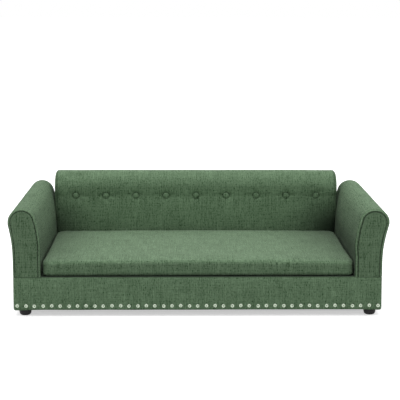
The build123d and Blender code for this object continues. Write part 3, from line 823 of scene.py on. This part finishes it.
def sweepRoundArm():
    # carries the selected edges up, over the roll and down again
    extrude((0, 0, arm["swellRise"]))
    for steps, turn, centre in (
            (arm["innerSteps"], innerTurn, innerCentre),
            (arm["rollSteps"], math.pi - innerTurn + outerTurn, rollCentre),
            (arm["outerSteps"], -outerTurn, outerCentre)):
        bpy.ops.mesh.spin(steps=steps, angle=-turn, center=centre, axis=(0, 1, 0))
    extrude((0, 0, -arm["waistRise"]))


def armStrip(name, inset, yFront, yRear, cuts):
    # a closed body with the arm's section, drawn in by inset
    deselectAll()
    bpy.ops.mesh.primitive_plane_add(size=1, location=(0, 0, 0))
    piece = newPiece(name)
    selectVerts(piece, lambda co: co.x > 0)
    bpy.ops.mesh.delete(type="VERT")
    objectMode()
    for vertex in piece.data.vertices:
        vertex.co = (armLow.x + inset, yFront if vertex.co.y < 0 else yRear, armLow.z)
    editAll()
    if cuts:
        bpy.ops.mesh.subdivide(number_cuts=cuts)
    bpy.ops.mesh.select_all(action="SELECT")
    sweepRoundArm()
    objectMode()
    for y in (yFront, yRear):
        selectVerts(piece, lambda co: abs(co.y - y) < hair)
        bpy.ops.mesh.edge_face_add()
        objectMode()
    editAll()
    bpy.ops.mesh.fill_holes(sides=0)
    objectMode()
    faceOutward(piece)
    return piece


def armWeave(places, normals, across, along):
    # on the arm the warp runs from front to rear, and the weft goes over the roll
    turn = np.arctan2(places[:, 2] - rollCentre.z, rollCentre.x - np.abs(places[:, 0]))
    over = rollCentre.z + arm["rollRadius"] * np.clip(turn, 0, math.pi)
    down = rollCentre.z + arm["rollRadius"] * math.pi + rollCentre.z - places[:, 2]
    inside = np.abs(places[:, 0]) < rollCentre.x
    route = np.where(places[:, 2] > rollCentre.z, over, np.where(inside, places[:, 2], down))
    onRoll = np.abs(normals[:, 1]) < slant
    return np.where(onRoll, route, across), np.where(onRoll, places[:, 1], along)


def roundRim(piece, y, width, segments):
    def onRim(co):
        return abs(co.y - y) < hair

    pick(piece)
    selectEdges(piece, lambda a, b: onRim(a) and onRim(b) and max(a.z, b.z) > armLow.z + hair)
    bpy.ops.mesh.bevel(offset=width, segments=segments, affect="EDGES")
    objectMode()


cover = {
    "cuts": 70, "frontRim": 0.0032, "rearRim": 0.0045, "proud": 0.0020, "foamGap": 0.0009,
    "lumps": (0.11, 0.0009, 5.0, 0.0004),                        # size, height, seed and how proud
    # painted shade on the inner side, and on the top of the left roll
    "innerShade": {"left": 0.50, "right": 0.74}, "fade": 0.65, "fadeHeights": (0.18, 0.31),
    "rollShade": {"left": 0.12, "right": 0.0},
}
# how far the roll stands off the drawing at its inner side, its outer side and its top,
# and how far its cloth may go with it on the outer side before the foam stops it
lean = {
    "left": (0.0020, 0.0030, 0.0042, 0.0008), "right": (-0.0040, 0.0050, 0.0034, 0.0050),
    "innerHeights": (0.170, 0.215), "innerDepths": (0.08, 0.20),   # where the inner side starts and ends
}


def leanRoll(piece, side, isCloth):
    # hand-stuffed rolls: neither arm stands quite as drawn
    inner, outer, lift, clothOuter = lean[side]
    if isCloth:
        outer = clothOuter
    points = readPoints(piece.data)
    away = ramp(np.abs(points[:, 0]) - armLow.x, armHigh.x - armLow.x)
    high = softStep(points[:, 2], armLow.z + arm["waistRise"], rollCentre.z)
    inside = softStep(points[:, 2], *lean["innerHeights"]) * (1 - softStep(points[:, 1], *lean["innerDepths"]))
    points[:, 0] += inner * (1 - away) * inside + outer * away * high
    points[:, 2] += lift * high
    writePoints(piece.data, points)


def coverArm(piece, side):
    leanRoll(piece, side, True)
    keepOver(piece, f"arm_foam_{side}", cover["foamGap"])
    # painted shade: the inner side is darker towards the seat, and the left roll darker on top
    points, normals = readPoints(piece.data), readNormals(piece.data)
    inward = np.clip(-np.sign(points[:, 0]) * normals[:, 0], 0, 1)
    upward = np.clip(normals[:, 2], 0, 1)
    low = 1 - cover["fade"] * softStep(points[:, 2], *cover["fadeHeights"])
    paintShade(piece, np.maximum(cover["innerShade"][side] * inward * low, cover["rollShade"][side] * upward))


def makeArmCover():
    front = armLow.y - cover["proud"]
    piece = armStrip("armCoverRight", 0, front, armHigh.y, cover["cuts"])
    roundRim(piece, front, cover["frontRim"], 4)
    roundRim(piece, armHigh.y, cover["rearRim"], 5)
    unevenCloth(piece, *cover["lumps"])
    layWeave(piece, armWeave)
    smoothShade(piece, 50)
    return piece


facing = {
    "inset": {"left": 0.0050, "right": 0.0078}, "edge": 0.0036,
    "crown": ((0.0012, 0), (0.010, 0.0012), (0.012, 0.0006)),      # each step in, and out to the front
    # painted shade on the rim of the facing
    "shadeShare": {"left": 1.0, "right": 0.8}, "shadeDepth": 0.0012,        # on its sides, behind the welt
}


def makeArmFacing(side):
    low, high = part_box("arm_facing_right")
    piece = armStrip("armFacingRight", facing["inset"][side], low.y, high.y, 0)
    roundRim(piece, low.y, facing["edge"], 4)
    rim = readPoints(piece.data)
    # painted shade round the rim, behind the welt
    paintShade(piece, facing["shadeShare"][side] * ramp(rim[:, 1] - low.y, facing["shadeDepth"]))
    selectFaces(piece, lambda centre, normal: normal.y < -0.99 and centre.y < low.y + 10 * hair)
    for inward, outward in facing["crown"]:
        bpy.ops.mesh.inset(thickness=inward, depth=outward)
    objectMode()
    layWeave(piece)
    smoothShade(piece, 60)
    return piece


welt = {"radius": 0.0025, "inset": {"left": 0.0030, "right": 0.0045}, "sides": 14}


def makeArmWelt(side):
    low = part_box("arm_welt_right")[0]
    place = (armLow.x + welt["inset"][side], low.y + welt["radius"], armLow.z)
    deselectAll()
    bpy.ops.mesh.primitive_circle_add(vertices=welt["sides"], radius=welt["radius"], fill_type="NGON", location=place)
    piece = newPiece("armWeltRight")
    editAll()
    sweepRoundArm()
    objectMode()
    faceOutward(piece)
    layWeave(piece)
    smoothShade(piece, 60)
    return piece


def toLeft(piece, name):
    # moves a right-hand piece to the left
    twin = mirrorCopy(piece, name)
    bpy.data.objects.remove(piece)
    return twin


rightCover = makeArmCover()
leftCover = mirrorCopy(rightCover, "armCoverLeft")
arms = {
    "right": (rightCover, makeArmFacing("right"), makeArmWelt("right")),
    "left": (leftCover, toLeft(makeArmFacing("left"), "armFacingLeft"), toLeft(makeArmWelt("left"), "armWeltLeft")),
}
for side, (outerCloth, face, cord) in arms.items():
    coverArm(outerCloth, side)
    leanRoll(face, side, False)
    leanRoll(cord, side, False)
    dress(outerCloth, "sofa_frame", "upholstery", linenCloth, f"arm_cover_{side}")
    dress(face, "sofa_frame", "upholstery", linenCloth, f"arm_facing_{side}")
    # the welt's cloth is a lighter copy, with a painted highlight
    dress(cord, "sofa_frame", "upholstery", weltClothPaintedHighlight, f"arm_welt_{side}")
print("arms made")


# backrest: a lower pad and a roll, which meet in a valley along the buttons

back = {
    "padRise": 0.158, "padBulge": 0.004, "rollReach": 0.045, "rollRadius": 0.038, "swellRise": 0.184,
    "sideGap": 0.001, "endCut": 0.005, "voxel": 0.006, "cap": 0.0030,
    "pitch": 0.1, "buttons": 9,
    "held": {"rear": 0.008, "low": 0.006, "round": 0.012, "deep": 0.02},         # what can't swell
    "valley": {"half": 0.030, "deep": 0.03, "endGap": 0.025, "passes": 220},
    "sideSwell": 0.0055, "swellEnd": 0.03, "topLess": 0.2, "endGap": 0.0003,     # wider above the arms
    "lumps": (0.12, 0.0010, 4.0), "floorGap": 0.0003, "over": 0.001, "foamGap": 0.0010,
    # painted shade next to each arm and low down
    "endShade": (0.60, 0.86), "endReach": (0.08, 0.10), "lowShade": 0.11, "fadeRises": (0.05, 0.20),
}
backLow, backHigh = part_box("back_cover")
buttonLow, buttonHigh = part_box("back_buttons")
buttonZ = (buttonLow.z + buttonHigh.z) / 2
buttonRow = [((n - back["buttons"] // 2) * back["pitch"], buttonZ) for n in range(back["buttons"])]
backHalf = armLow.x - back["sideGap"]


def circleCrossing(low, lowRadius, high, highRadius):
    # the front one of the two points where two circles cross, as (y, z)
    way = (high - low).normalized()
    apart = (high - low).length
    along = (apart ** 2 + lowRadius ** 2 - highRadius ** 2) / (2 * apart)
    aside = math.sqrt(lowRadius ** 2 - along ** 2)
    return low + way * along + Vector((-way.y, way.x)) * aside


# the side view of its front, as (y, z): the pad's arc meets a hollow arc that runs into the roll
padHalf = back["padRise"] / 2
padRadius = (padHalf ** 2 + back["padBulge"] ** 2) / (2 * back["padBulge"])
padCentre = Vector((backLow.y + padRadius, backLow.z + padHalf))
padFoot = (padCentre.x - math.sqrt(padRadius ** 2 - padHalf ** 2), backLow.z)
backRoll = Vector((backLow.y + back["rollReach"], backHigh.z - back["rollRadius"]))
hollowZ = backLow.z + back["swellRise"]
hollowRadius = tangentRadius(back["rollReach"], backRoll.y - hollowZ, back["rollRadius"])
hollowCentre = Vector((backLow.y + hollowRadius, hollowZ))
valley = circleCrossing(padCentre, padRadius, hollowCentre, hollowRadius)


def sweepArc(centre, start, end):
    # carries the selected edge along an arc of the side view
    first, last = Vector(start) - Vector(centre), Vector(end) - Vector(centre)
    turn = math.atan2(first.x * last.y - first.y * last.x, first.dot(last))
    steps = max(2, round(abs(turn) * first.length / back["voxel"]))
    bpy.ops.mesh.spin(steps=steps, angle=-turn, center=(0, centre[0], centre[1]), axis=(1, 0, 0))


def sweepLine(start, end):
    way = Vector(end) - Vector(start)
    steps = max(1, round(way.length / back["voxel"]))
    for _ in range(steps):
        extrude((0, way.x / steps, way.y / steps))


def sweepBack():
    rollStart = backRoll + (backRoll - hollowCentre).normalized() * back["rollRadius"]
    rollEnd = (backRoll.x, backHigh.z)
    topRear, lowRear = (backHigh.y, backHigh.z), (backHigh.y, backLow.z)
    deselectAll()
    bpy.ops.mesh.primitive_plane_add(size=2 * backHalf, location=(0, padFoot[0] + backHalf, backLow.z))
    piece = newPiece("backrest")
    selectVerts(piece, lambda co: co.y > padFoot[0] + backHalf)
    bpy.ops.mesh.delete(type="VERT")
    bpy.ops.mesh.select_all(action="SELECT")
    bpy.ops.mesh.subdivide(number_cuts=round(2 * backHalf / back["voxel"]))
    bpy.ops.mesh.select_all(action="SELECT")
    sweepArc(padCentre, padFoot, valley)
    sweepArc(hollowCentre, valley, rollStart)
    sweepArc(backRoll, rollStart, rollEnd)
    for start, end in ((rollEnd, topRear), (topRear, lowRear), (lowRear, padFoot)):
        sweepLine(start, end)
    objectMode()
    faceOutward(piece)
    for side in (-backHalf, backHalf):
        selectVerts(piece, lambda co: abs(co.x - side) < hair)
        bpy.ops.mesh.edge_face_add()
        objectMode()
    faceOutward(piece)
    return piece


def makeBack():
    def atEnd(co):
        return abs(abs(co.x) - backHalf) < hair and co.z > backLow.z + hair

    piece = sweepBack()
    selectEdges(piece, lambda a, b: atEnd(a) and atEnd(b) and a.y < backHigh.y - hair)
    bpy.ops.mesh.bevel(offset=back["endCut"], segments=4, affect="EDGES", clamp_overlap=False)
    objectMode()
    # blown up between the buttons and the frame, which hold it
    swell(piece, back["voxel"], back["cap"], held=heldBack)
    softenValley(piece)
    dimpleBack(piece)
    seamBackEnds(piece)
    unevenCloth(piece, *back["lumps"])
    widenBack(piece)
    keepOver(piece, "back_foam", back["foamGap"])
    shadeBack(piece)
    layWeave(piece, backWeave)
    smoothShade(piece, 60)
    return dress(piece, "sofa_frame", "upholstery", linenCloth, "back_cover")


def heldBack(points):
    # what the frame, the ties and the row of stitches hold still
    held = back["held"]
    onRear = (points[:, 1] > backHigh.y - held["rear"]) | (points[:, 2] < backLow.z + held["low"])
    tied = np.zeros(len(points), dtype=bool)
    for x, z in buttonRow:
        near = np.hypot(points[:, 0] - x, points[:, 2] - z) < held["round"]
        tied |= near & (points[:, 1] < valley.x + held["deep"])
    return onRear | tied


def softenValley(piece):
    # between the buttons the pad runs into the roll in one soft hollow
    soft = back["valley"]
    group = piece.vertex_groups.new(name="valley")
    points = readPoints(piece.data)
    near = (np.abs(points[:, 2] - valley.y) < soft["half"]) & (points[:, 1] < valley.x + soft["deep"])
    near &= np.abs(points[:, 0]) < armLow.x - soft["endGap"]
    group.add([int(i) for i in np.nonzero(near)[0]], 1.0, "REPLACE")
    applyModifier(piece, "SMOOTH", factor=0.5, iterations=soft["passes"], vertex_group="valley")
    piece.vertex_groups.clear()


pull = {
    "well": 0.0052, "wellSpread": 0.0125, "dish": 0.0016, "dishSpread": 0.030,
    "pucker": 0.0006, "puckers": 7, "puckerTurn": 1.7, "ring": 0.020, "ringSpread": 0.010,
    "fold": 0.0028, "foldSpread": 0.0062, "foldBetween": 0.22, "foldReach": 0.024, "foldEnd": 0.43,
    "foldWave": 0.0015, "foldWaves": 23, "endFade": 0.03,
    "forward": 0.0014, "fade": 0.02, "deep": 0.03,                    # the front as a whole
    # painted shade in a ring round each button
    "shadeShare": 0.62, "shadeRing": 0.0095, "shadeSpread": 0.0026,
}


def dimpleBack(piece):
    # every button draws the cloth in, with folds that run out from it along the row
    points = readPoints(piece.data)
    depth = np.zeros(len(points))
    front = points[:, 1] < valley.x + pull["deep"]
    for number, (x, z) in enumerate(buttonRow):
        dx, dz = points[:, 0] - x, points[:, 2] - z
        away = np.hypot(dx, dz)
        turn = np.arctan2(dz, dx)
        depth += pull["well"] * bell(away, pull["wellSpread"])
        depth += pull["dish"] * bell(away, pull["dishSpread"])
        ring = bell(away - pull["ring"], pull["ringSpread"])
        depth += pull["pucker"] * ring * np.cos(pull["puckers"] * turn + number * pull["puckerTurn"])
    nearest = np.abs((points[:, 0] + back["pitch"] / 2) % back["pitch"] - back["pitch"] / 2)
    fade = pull["foldBetween"] + (1 - pull["foldBetween"]) * bell(nearest, pull["foldReach"])
    reach = ramp(pull["foldEnd"] - np.abs(points[:, 0]), pull["endFade"])
    ahead = pull["forward"] * ramp(valley.x + pull["deep"] - points[:, 1], pull["fade"])
    depth -= ahead * ramp(points[:, 2] - backLow.z, pull["fade"])
    line = points[:, 2] - buttonZ - pull["foldWave"] * np.sin(points[:, 0] * pull["foldWaves"])
    depth += pull["fold"] * bell(line, pull["foldSpread"]) * fade * reach
    points[:, 1] += np.where(front, depth, 0)
    writePoints(piece.data, points)
    away = np.min([np.hypot(points[:, 0] - x, points[:, 2] - z) for x, z in buttonRow], axis=0)
    # painted shade in a ring round each button
    paintShade(piece, np.where(front, pull["shadeShare"] * bell(away - pull["shadeRing"], pull["shadeSpread"]), 0))


endSeam = {
    "inset": 0.006, "margin": 0.01, "depth": 0.0008, "spread": 0.0022,
    # the last two paint shade along the seam
    "swell": 0.0006, "swellInset": 0.006, "swellSpread": 0.004, "shadeShare": 0.5, "shadeSpread": 0.0020,
}


def seamBackEnds(piece):
    # a seam joins the narrow end strip to the front, over the whole height
    points = readPoints(piece.data)
    gap = backHalf - endSeam["inset"] - np.abs(points[:, 0])
    shown = (points[:, 1] < backHigh.y - endSeam["margin"]) & (points[:, 2] > backLow.z + endSeam["margin"])
    depth = endSeam["depth"] * bell(gap, endSeam["spread"])
    depth -= endSeam["swell"] * bell(gap - endSeam["swellInset"], endSeam["swellSpread"])
    writePoints(piece.data, points - readNormals(piece.data) * np.where(shown, depth, 0)[:, None])
    # painted shade along the seam
    paintShade(piece, np.where(shown, endSeam["shadeShare"] * bell(gap, endSeam["shadeSpread"]), 0))


def widenBack(piece):
    # above the arms nothing holds its ends in
    points = readPoints(piece.data)
    points[:, 1] = np.minimum(points[:, 1], backHigh.y)
    points[:, 2] = np.clip(points[:, 2], backLow.z + back["floorGap"], backHigh.z + back["over"])
    rise = np.clip((points[:, 2] - armLow.z - arm["swellRise"]) / (backHigh.z - armLow.z - arm["swellRise"]), 0, 1)
    room = backHalf + back["endGap"] + back["sideSwell"] * np.clip(rise * 3, 0, 1) * (1 - back["topLess"] * rise ** 6)
    nearEnd = ramp(np.abs(points[:, 0]) - backHalf + back["swellEnd"], back["swellEnd"])
    points[:, 0] += np.sign(points[:, 0]) * (room - backHalf) * nearEnd
    points[:, 0] = np.clip(points[:, 0], -room, room)
    writePoints(piece.data, points)


def shadeBack(piece):
    # painted shade: darker next to the arms, low down
    points = readPoints(piece.data)
    toArm = np.maximum(armLow.x - np.abs(points[:, 0]), 0)
    start, end = back["fadeRises"]
    low = 1 - softStep(points[:, 2], backLow.z + start, backLow.z + end)
    deep = bySide(points, back["endShade"]) * bell(toArm, bySide(points, back["endReach"]))
    paintShade(piece, deep * low + back["lowShade"] * low)


def backWeave(places, normals, across, along):
    # the warp runs up the front and over the top of the back
    over = places[:, 2] + places[:, 1] - backLow.y
    upright = np.abs(normals[:, 0]) < slant
    return np.where(upright, places[:, 0], across), np.where(upright, over, along)


makeBack()
print("backrest made")


def lathe(name, profile, steps, centre, axis):
    # turns a profile of (radius, distance along the axis) about the axis
    along = Vector(axis)
    aside = along.orthogonal().normalized()
    places = [Vector(centre) + aside * radius + along * level for radius, level in profile]
    deselectAll()
    bpy.ops.mesh.primitive_plane_add(size=1)
    piece = newPiece(name)
    editMode("VERT")
    bpy.ops.mesh.select_all(action="SELECT")
    bpy.ops.mesh.merge(type="CENTER")
    bpy.ops.transform.translate(value=places[0])
    for start, end in zip(places, places[1:]):
        extrude(end - start)
    bpy.ops.mesh.select_all(action="SELECT")
    bpy.ops.mesh.spin(steps=steps, angle=2 * math.pi, center=centre, axis=axis)
    objectMode()
    faceOutward(piece)
    return piece


def repeatAt(piece, places, name):
    # copies a piece to each place, each copy with its own mesh, and joins them
    copies = []
    for place in places:
        copy = piece.copy()
        copy.data = piece.data.copy()
        scene.collection.objects.link(copy)
        copy.data.transform(Matrix.Translation(place))
        copies.append(copy)
    bpy.data.objects.remove(piece)
    return joinPieces(copies, name)


def domeProfile(head):
    # from the crown to the rim and in under it: (radius, distance toward the viewer)
    points = []
    for n in range(head["steps"] + 1):
        turn = math.pi / 2 * n / head["steps"]
        points.append((head["radius"] * math.sin(turn), head["rim"] + head["height"] * math.cos(turn)))
    return points + [(head["radius"] * share, level) for share, level in head["under"]]


button = {
    "radius": 0.0098, "height": 0.0046, "rim": 0.0012, "steps": 8, "sides": 28, "forward": 0.0006,
    "under": ((0.97, 0.0002), (0.8, -0.0016), (0, -0.0022)),   # share of the radius, and level
    # painted shade under the rim of each button
    "shadeShare": 0.55, "shadeStart": 0.001, "shadeDepth": 0.002,
}


def makeButtons():
    seat = buttonLow.y + button["height"] + button["rim"] - button["forward"]
    piece = lathe("backButtons", domeProfile(button), button["sides"], (0, seat, 0), (0, -1, 0))
    rim = readPoints(piece.data)
    # painted shade under the rim of each button
    paintShade(piece, button["shadeShare"] * ramp(rim[:, 1] - seat + button["rim"] + button["shadeStart"], button["shadeDepth"]))
    piece = repeatAt(piece, [Vector((x, 0, z)) for x, z in buttonRow], "backButtons")
    layWeave(piece)
    smoothShade(piece, 60)
    return dress(piece, "sofa_frame", "upholstery", linenCloth, "back_buttons")


makeButtons()
print("buttons made")


# base: one padded panel on each side, drawn down to a hem under the frame

panel = {
    "tuck": 0.0015, "upright": 0.005, "edge": 0.0030, "hem": 0.0045, "cell": 0.003,
    "puff": 0.0016, "puffDepth": 0.004,
    "corner": 0.007, "sag": 0.0012, "sagInset": 0.015, "sagSpread": 0.03, "sagRise": 0.02,
    # the last two paint shade along the top edge
    "lumps": (0.10, 0.0006, 7.0), "seamShade": 0.65, "seamReach": 0.0035,
}


def makePanel(name, cadNode, outward):
    # outward is the unit vector away from the sofa
    low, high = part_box(cadNode)
    piece = blockPiece(name, low, high)
    flat = 0 if abs(outward.x) > 0.5 else 1
    selectFaces(piece, lambda centre, normal: normal.dot(outward) < -0.9)
    bpy.ops.transform.translate(value=-outward * panel["tuck"])
    objectMode()
    face = high[flat] if outward[flat] > 0 else low[flat]

    def onFace(a, b):
        return abs(a[flat] - face) < hair and abs(b[flat] - face) < hair

    if flat == 1:
        selectEdges(piece, lambda a, b: onFace(a, b) and abs(a.x - b.x) < hair)
        bpy.ops.mesh.bevel(offset=panel["upright"], segments=4, affect="EDGES")
    for level, width in ((high.z, panel["edge"]), (low.z, panel["hem"])):
        selectEdges(piece, lambda a, b: onFace(a, b) and abs(a.z - b.z) < hair and abs(a.z - level) < hair)
        bpy.ops.mesh.bevel(offset=width, segments=4, affect="EDGES")
        objectMode()
    remesh(piece, panel["cell"])
    padPanel(piece, low, high, flat, face, outward[flat])
    if flat == 1:
        roundPanel(piece, low, high)
    applyModifier(piece, "SMOOTH", factor=0.5, iterations=2)
    if cadNode == "base_cover_front":
        pressNails(piece)
    points = readPoints(piece.data)
    # painted shade along the top edge, where the panel meets the parts above it
    paintShade(piece, panel["seamShade"] * np.clip(1 - (high.z - points[:, 2]) / panel["seamReach"], 0, 1))
    unevenCloth(piece, *panel["lumps"])
    layWeave(piece)
    smoothShade(piece, 60)
    # the base's cloth is a lighter copy, with painted light
    return dress(piece, "sofa_frame", "upholstery", baseClothPaintedLight, cadNode)


def padPanel(piece, low, high, flat, face, way):
    # a gentle swelling over the padding, less at the hem and at the seam under the arms
    points = readPoints(piece.data)
    size = high - low
    along = 1 - flat
    length = np.clip((points[:, along] - low[along]) / size[along] * 2 - 1, -1, 1)
    rise = np.clip((points[:, 2] - low.z) / size.z * 2 - 1, -1, 1)
    shown = np.clip(1 - np.abs(points[:, flat] - face) / panel["puffDepth"], 0, 1)
    puff = panel["puff"] * (1 - np.abs(rise) ** 3) * (1 - np.abs(length) ** 30) * shown
    points[:, flat] += way * puff
    writePoints(piece.data, points)


def roundPanel(piece, low, high):
    # the lower corners of the front and the rear are rounded, and hang a little
    points = readPoints(piece.data)
    bend = panel["corner"]
    inX = high.x - bend - np.abs(points[:, 0])
    inZ = points[:, 2] - low.z - bend
    reach = np.hypot(inX, inZ)
    beyond = (inX < 0) & (inZ < 0) & (reach > bend)
    share = np.where(beyond, bend / np.maximum(reach, hair), 1)
    points[:, 0] = np.where(beyond, np.sign(points[:, 0]) * (high.x - bend - inX * share), points[:, 0])
    points[:, 2] = np.where(beyond, low.z + bend + inZ * share, points[:, 2])
    nearCorner = bell(high.x - panel["sagInset"] - np.abs(points[:, 0]), panel["sagSpread"])
    points[:, 2] -= panel["sag"] * nearCorner * np.clip(1 - (points[:, 2] - low.z) / panel["sagRise"], 0, 1)
    writePoints(piece.data, points)


# nails set by hand stray a little from their row
nailSpots = [
    ((n - (nail["count"] - 1) / 2) * nail["pitch"] + nail["astray"] * math.sin(n * 2.3),
     nailZ + nail["astray"] * math.sin(n * 1.7 + 1))
    for n in range(nail["count"])
]


def pressNails(piece):
    # the cloth gives way round each nail
    points = readPoints(piece.data)
    for x, z in nailSpots:
        away = np.hypot(points[:, 0] - x, points[:, 2] - z)
        front = points[:, 1] < nailLow.y + nail["pressDepth"]
        points[:, 1] += np.where(front, nail["press"] * bell(away, nail["pressSpread"]), 0)
    writePoints(piece.data, points)


def makeNails():
    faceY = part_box("base_cover_front")[0].y
    piece = lathe("nailTrim", domeProfile(nail), nail["sides"], (0, faceY, 0), (0, -1, 0))
    piece = repeatAt(piece, [Vector((x, 0, z)) for x, z in nailSpots], "nailTrim")
    smoothShade(piece, 50)
    return dress(piece, "sofa_frame", "nail_metal", nailMetal, "nail_trim")


# feet: round moulded glides, dished for the screw

foot = {
    "radius": 0.018, "flat": 0.0108, "curve": 0.0115, "height": 0.020, "turns": 40,
    "recess": 0.008, "web": 0.008, "bore": 0.0025, "chamfer": 0.0008,
    "shoulder": ((0, 0.0015), (0.0006, 0.0004), (0.0016, 0)),   # in from the side, and down from the top
}


def makeFoot(cadNode, name):
    low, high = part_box(cadNode)
    centre = (low + high) / 2
    roof = foot["height"] - foot["web"]
    radius, flat, height, bore = foot["radius"], foot["flat"], foot["height"], foot["bore"]
    recess, chamfer = foot["recess"], foot["chamfer"]
    profile = [(bore, height), (bore, roof), (recess - chamfer, roof), (recess, roof - chamfer),
               (recess, chamfer), (recess + chamfer, 0)]
    for n in range(10):
        turn = math.pi / 2 * n / 9
        profile.append((flat + (radius - flat) * math.sin(turn), foot["curve"] * (1 - math.cos(turn))))
    profile += [(radius - inward, height - down) for inward, down in foot["shoulder"]] + [(bore, height)]
    piece = lathe(name, profile, foot["turns"], (centre.x, centre.y, 0), (0, 0, 1))
    smoothShade(piece, 35)
    return dress(piece, "sofa_frame", "foot_plastic", footPlastic, cadNode)


for side in ("left", "right"):
    makeFoot(f"foot_front_{side}", f"footFront{side.capitalize()}")
    makeFoot(f"foot_rear_{side}", f"footRear{side.capitalize()}")
print("feet made")

makePanel("baseFront", "base_cover_front", Vector((0, -1, 0)))
makePanel("baseRear", "base_cover_rear", Vector((0, 1, 0)))
makePanel("baseSideRight", "base_cover_side_right", Vector((1, 0, 0)))
makePanel("baseSideLeft", "base_cover_side_left", Vector((-1, 0, 0)))
makeNails()
print("base covers and nails made")


# thin cloths: the lining on the deck, the dust cloth under the frame and the rear panel of the back

thinCloth = {
    "cell": 0.012, "share": 0.8, "wave": 0.0002, "waveSize": 0.09, "waveFade": 0.03,
    "hem": 0.007, "hemDepth": 0.0003, "hemSpread": 0.006,
}


def makeThinCloth(name, cadNode, flat, body, slot, material, *under):
    # flat is the axis that the cloth is thin along
    low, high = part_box(cadNode)
    size = high - low
    across, along = [axis for axis in range(3) if axis != flat]
    deselectAll()
    bpy.ops.mesh.primitive_grid_add(x_subdivisions=round(size[across] / thinCloth["cell"]),
                                    y_subdivisions=round(size[along] / thinCloth["cell"]), size=1)
    piece = newPiece(name)
    start = readPoints(piece.data)
    points = np.zeros_like(start)
    points[:, across] = (low[across] + high[across]) / 2 + start[:, 0] * size[across]
    points[:, along] = (low[along] + high[along]) / 2 + start[:, 1] * size[along]
    edge = np.minimum(size[across] / 2 - np.abs(start[:, 0]) * size[across],
                      size[along] / 2 - np.abs(start[:, 1]) * size[along])
    wave = softNoise(points, thinCloth["waveSize"], 21.0) * thinCloth["wave"] * ramp(edge, thinCloth["waveFade"])
    hem = thinCloth["hemDepth"] * bell(edge - thinCloth["hem"], thinCloth["hemSpread"])
    points[:, flat] = (low[flat] + high[flat]) / 2 + wave - hem
    writePoints(piece.data, points)
    applyModifier(piece, "SOLIDIFY", thickness=size[flat] * thinCloth["share"], offset=0)
    faceOutward(piece)
    layWeave(piece)
    smoothShade(piece, 50)
    return dress(piece, body, slot, material, cadNode)


makeThinCloth("deckLining", "deck_cover", 2, "sofa_frame", "lining", deckLining, "seat_deck")
makeThinCloth("dustCloth", "dust_cover", 2, "sofa_frame", "lining", blackLining, "base_front_rail", "base_rear_rail",
              "base_side_rail_left", "base_side_rail_right", "base_cross_rail_left", "base_cross_rail_right")
makeThinCloth("backRearPanel", "back_rear_panel", 1, "sofa_frame", "upholstery", linenCloth, "back_uprights",
              "back_top_rail", "back_bottom_rail")
print("thin cloths made")


print("done")
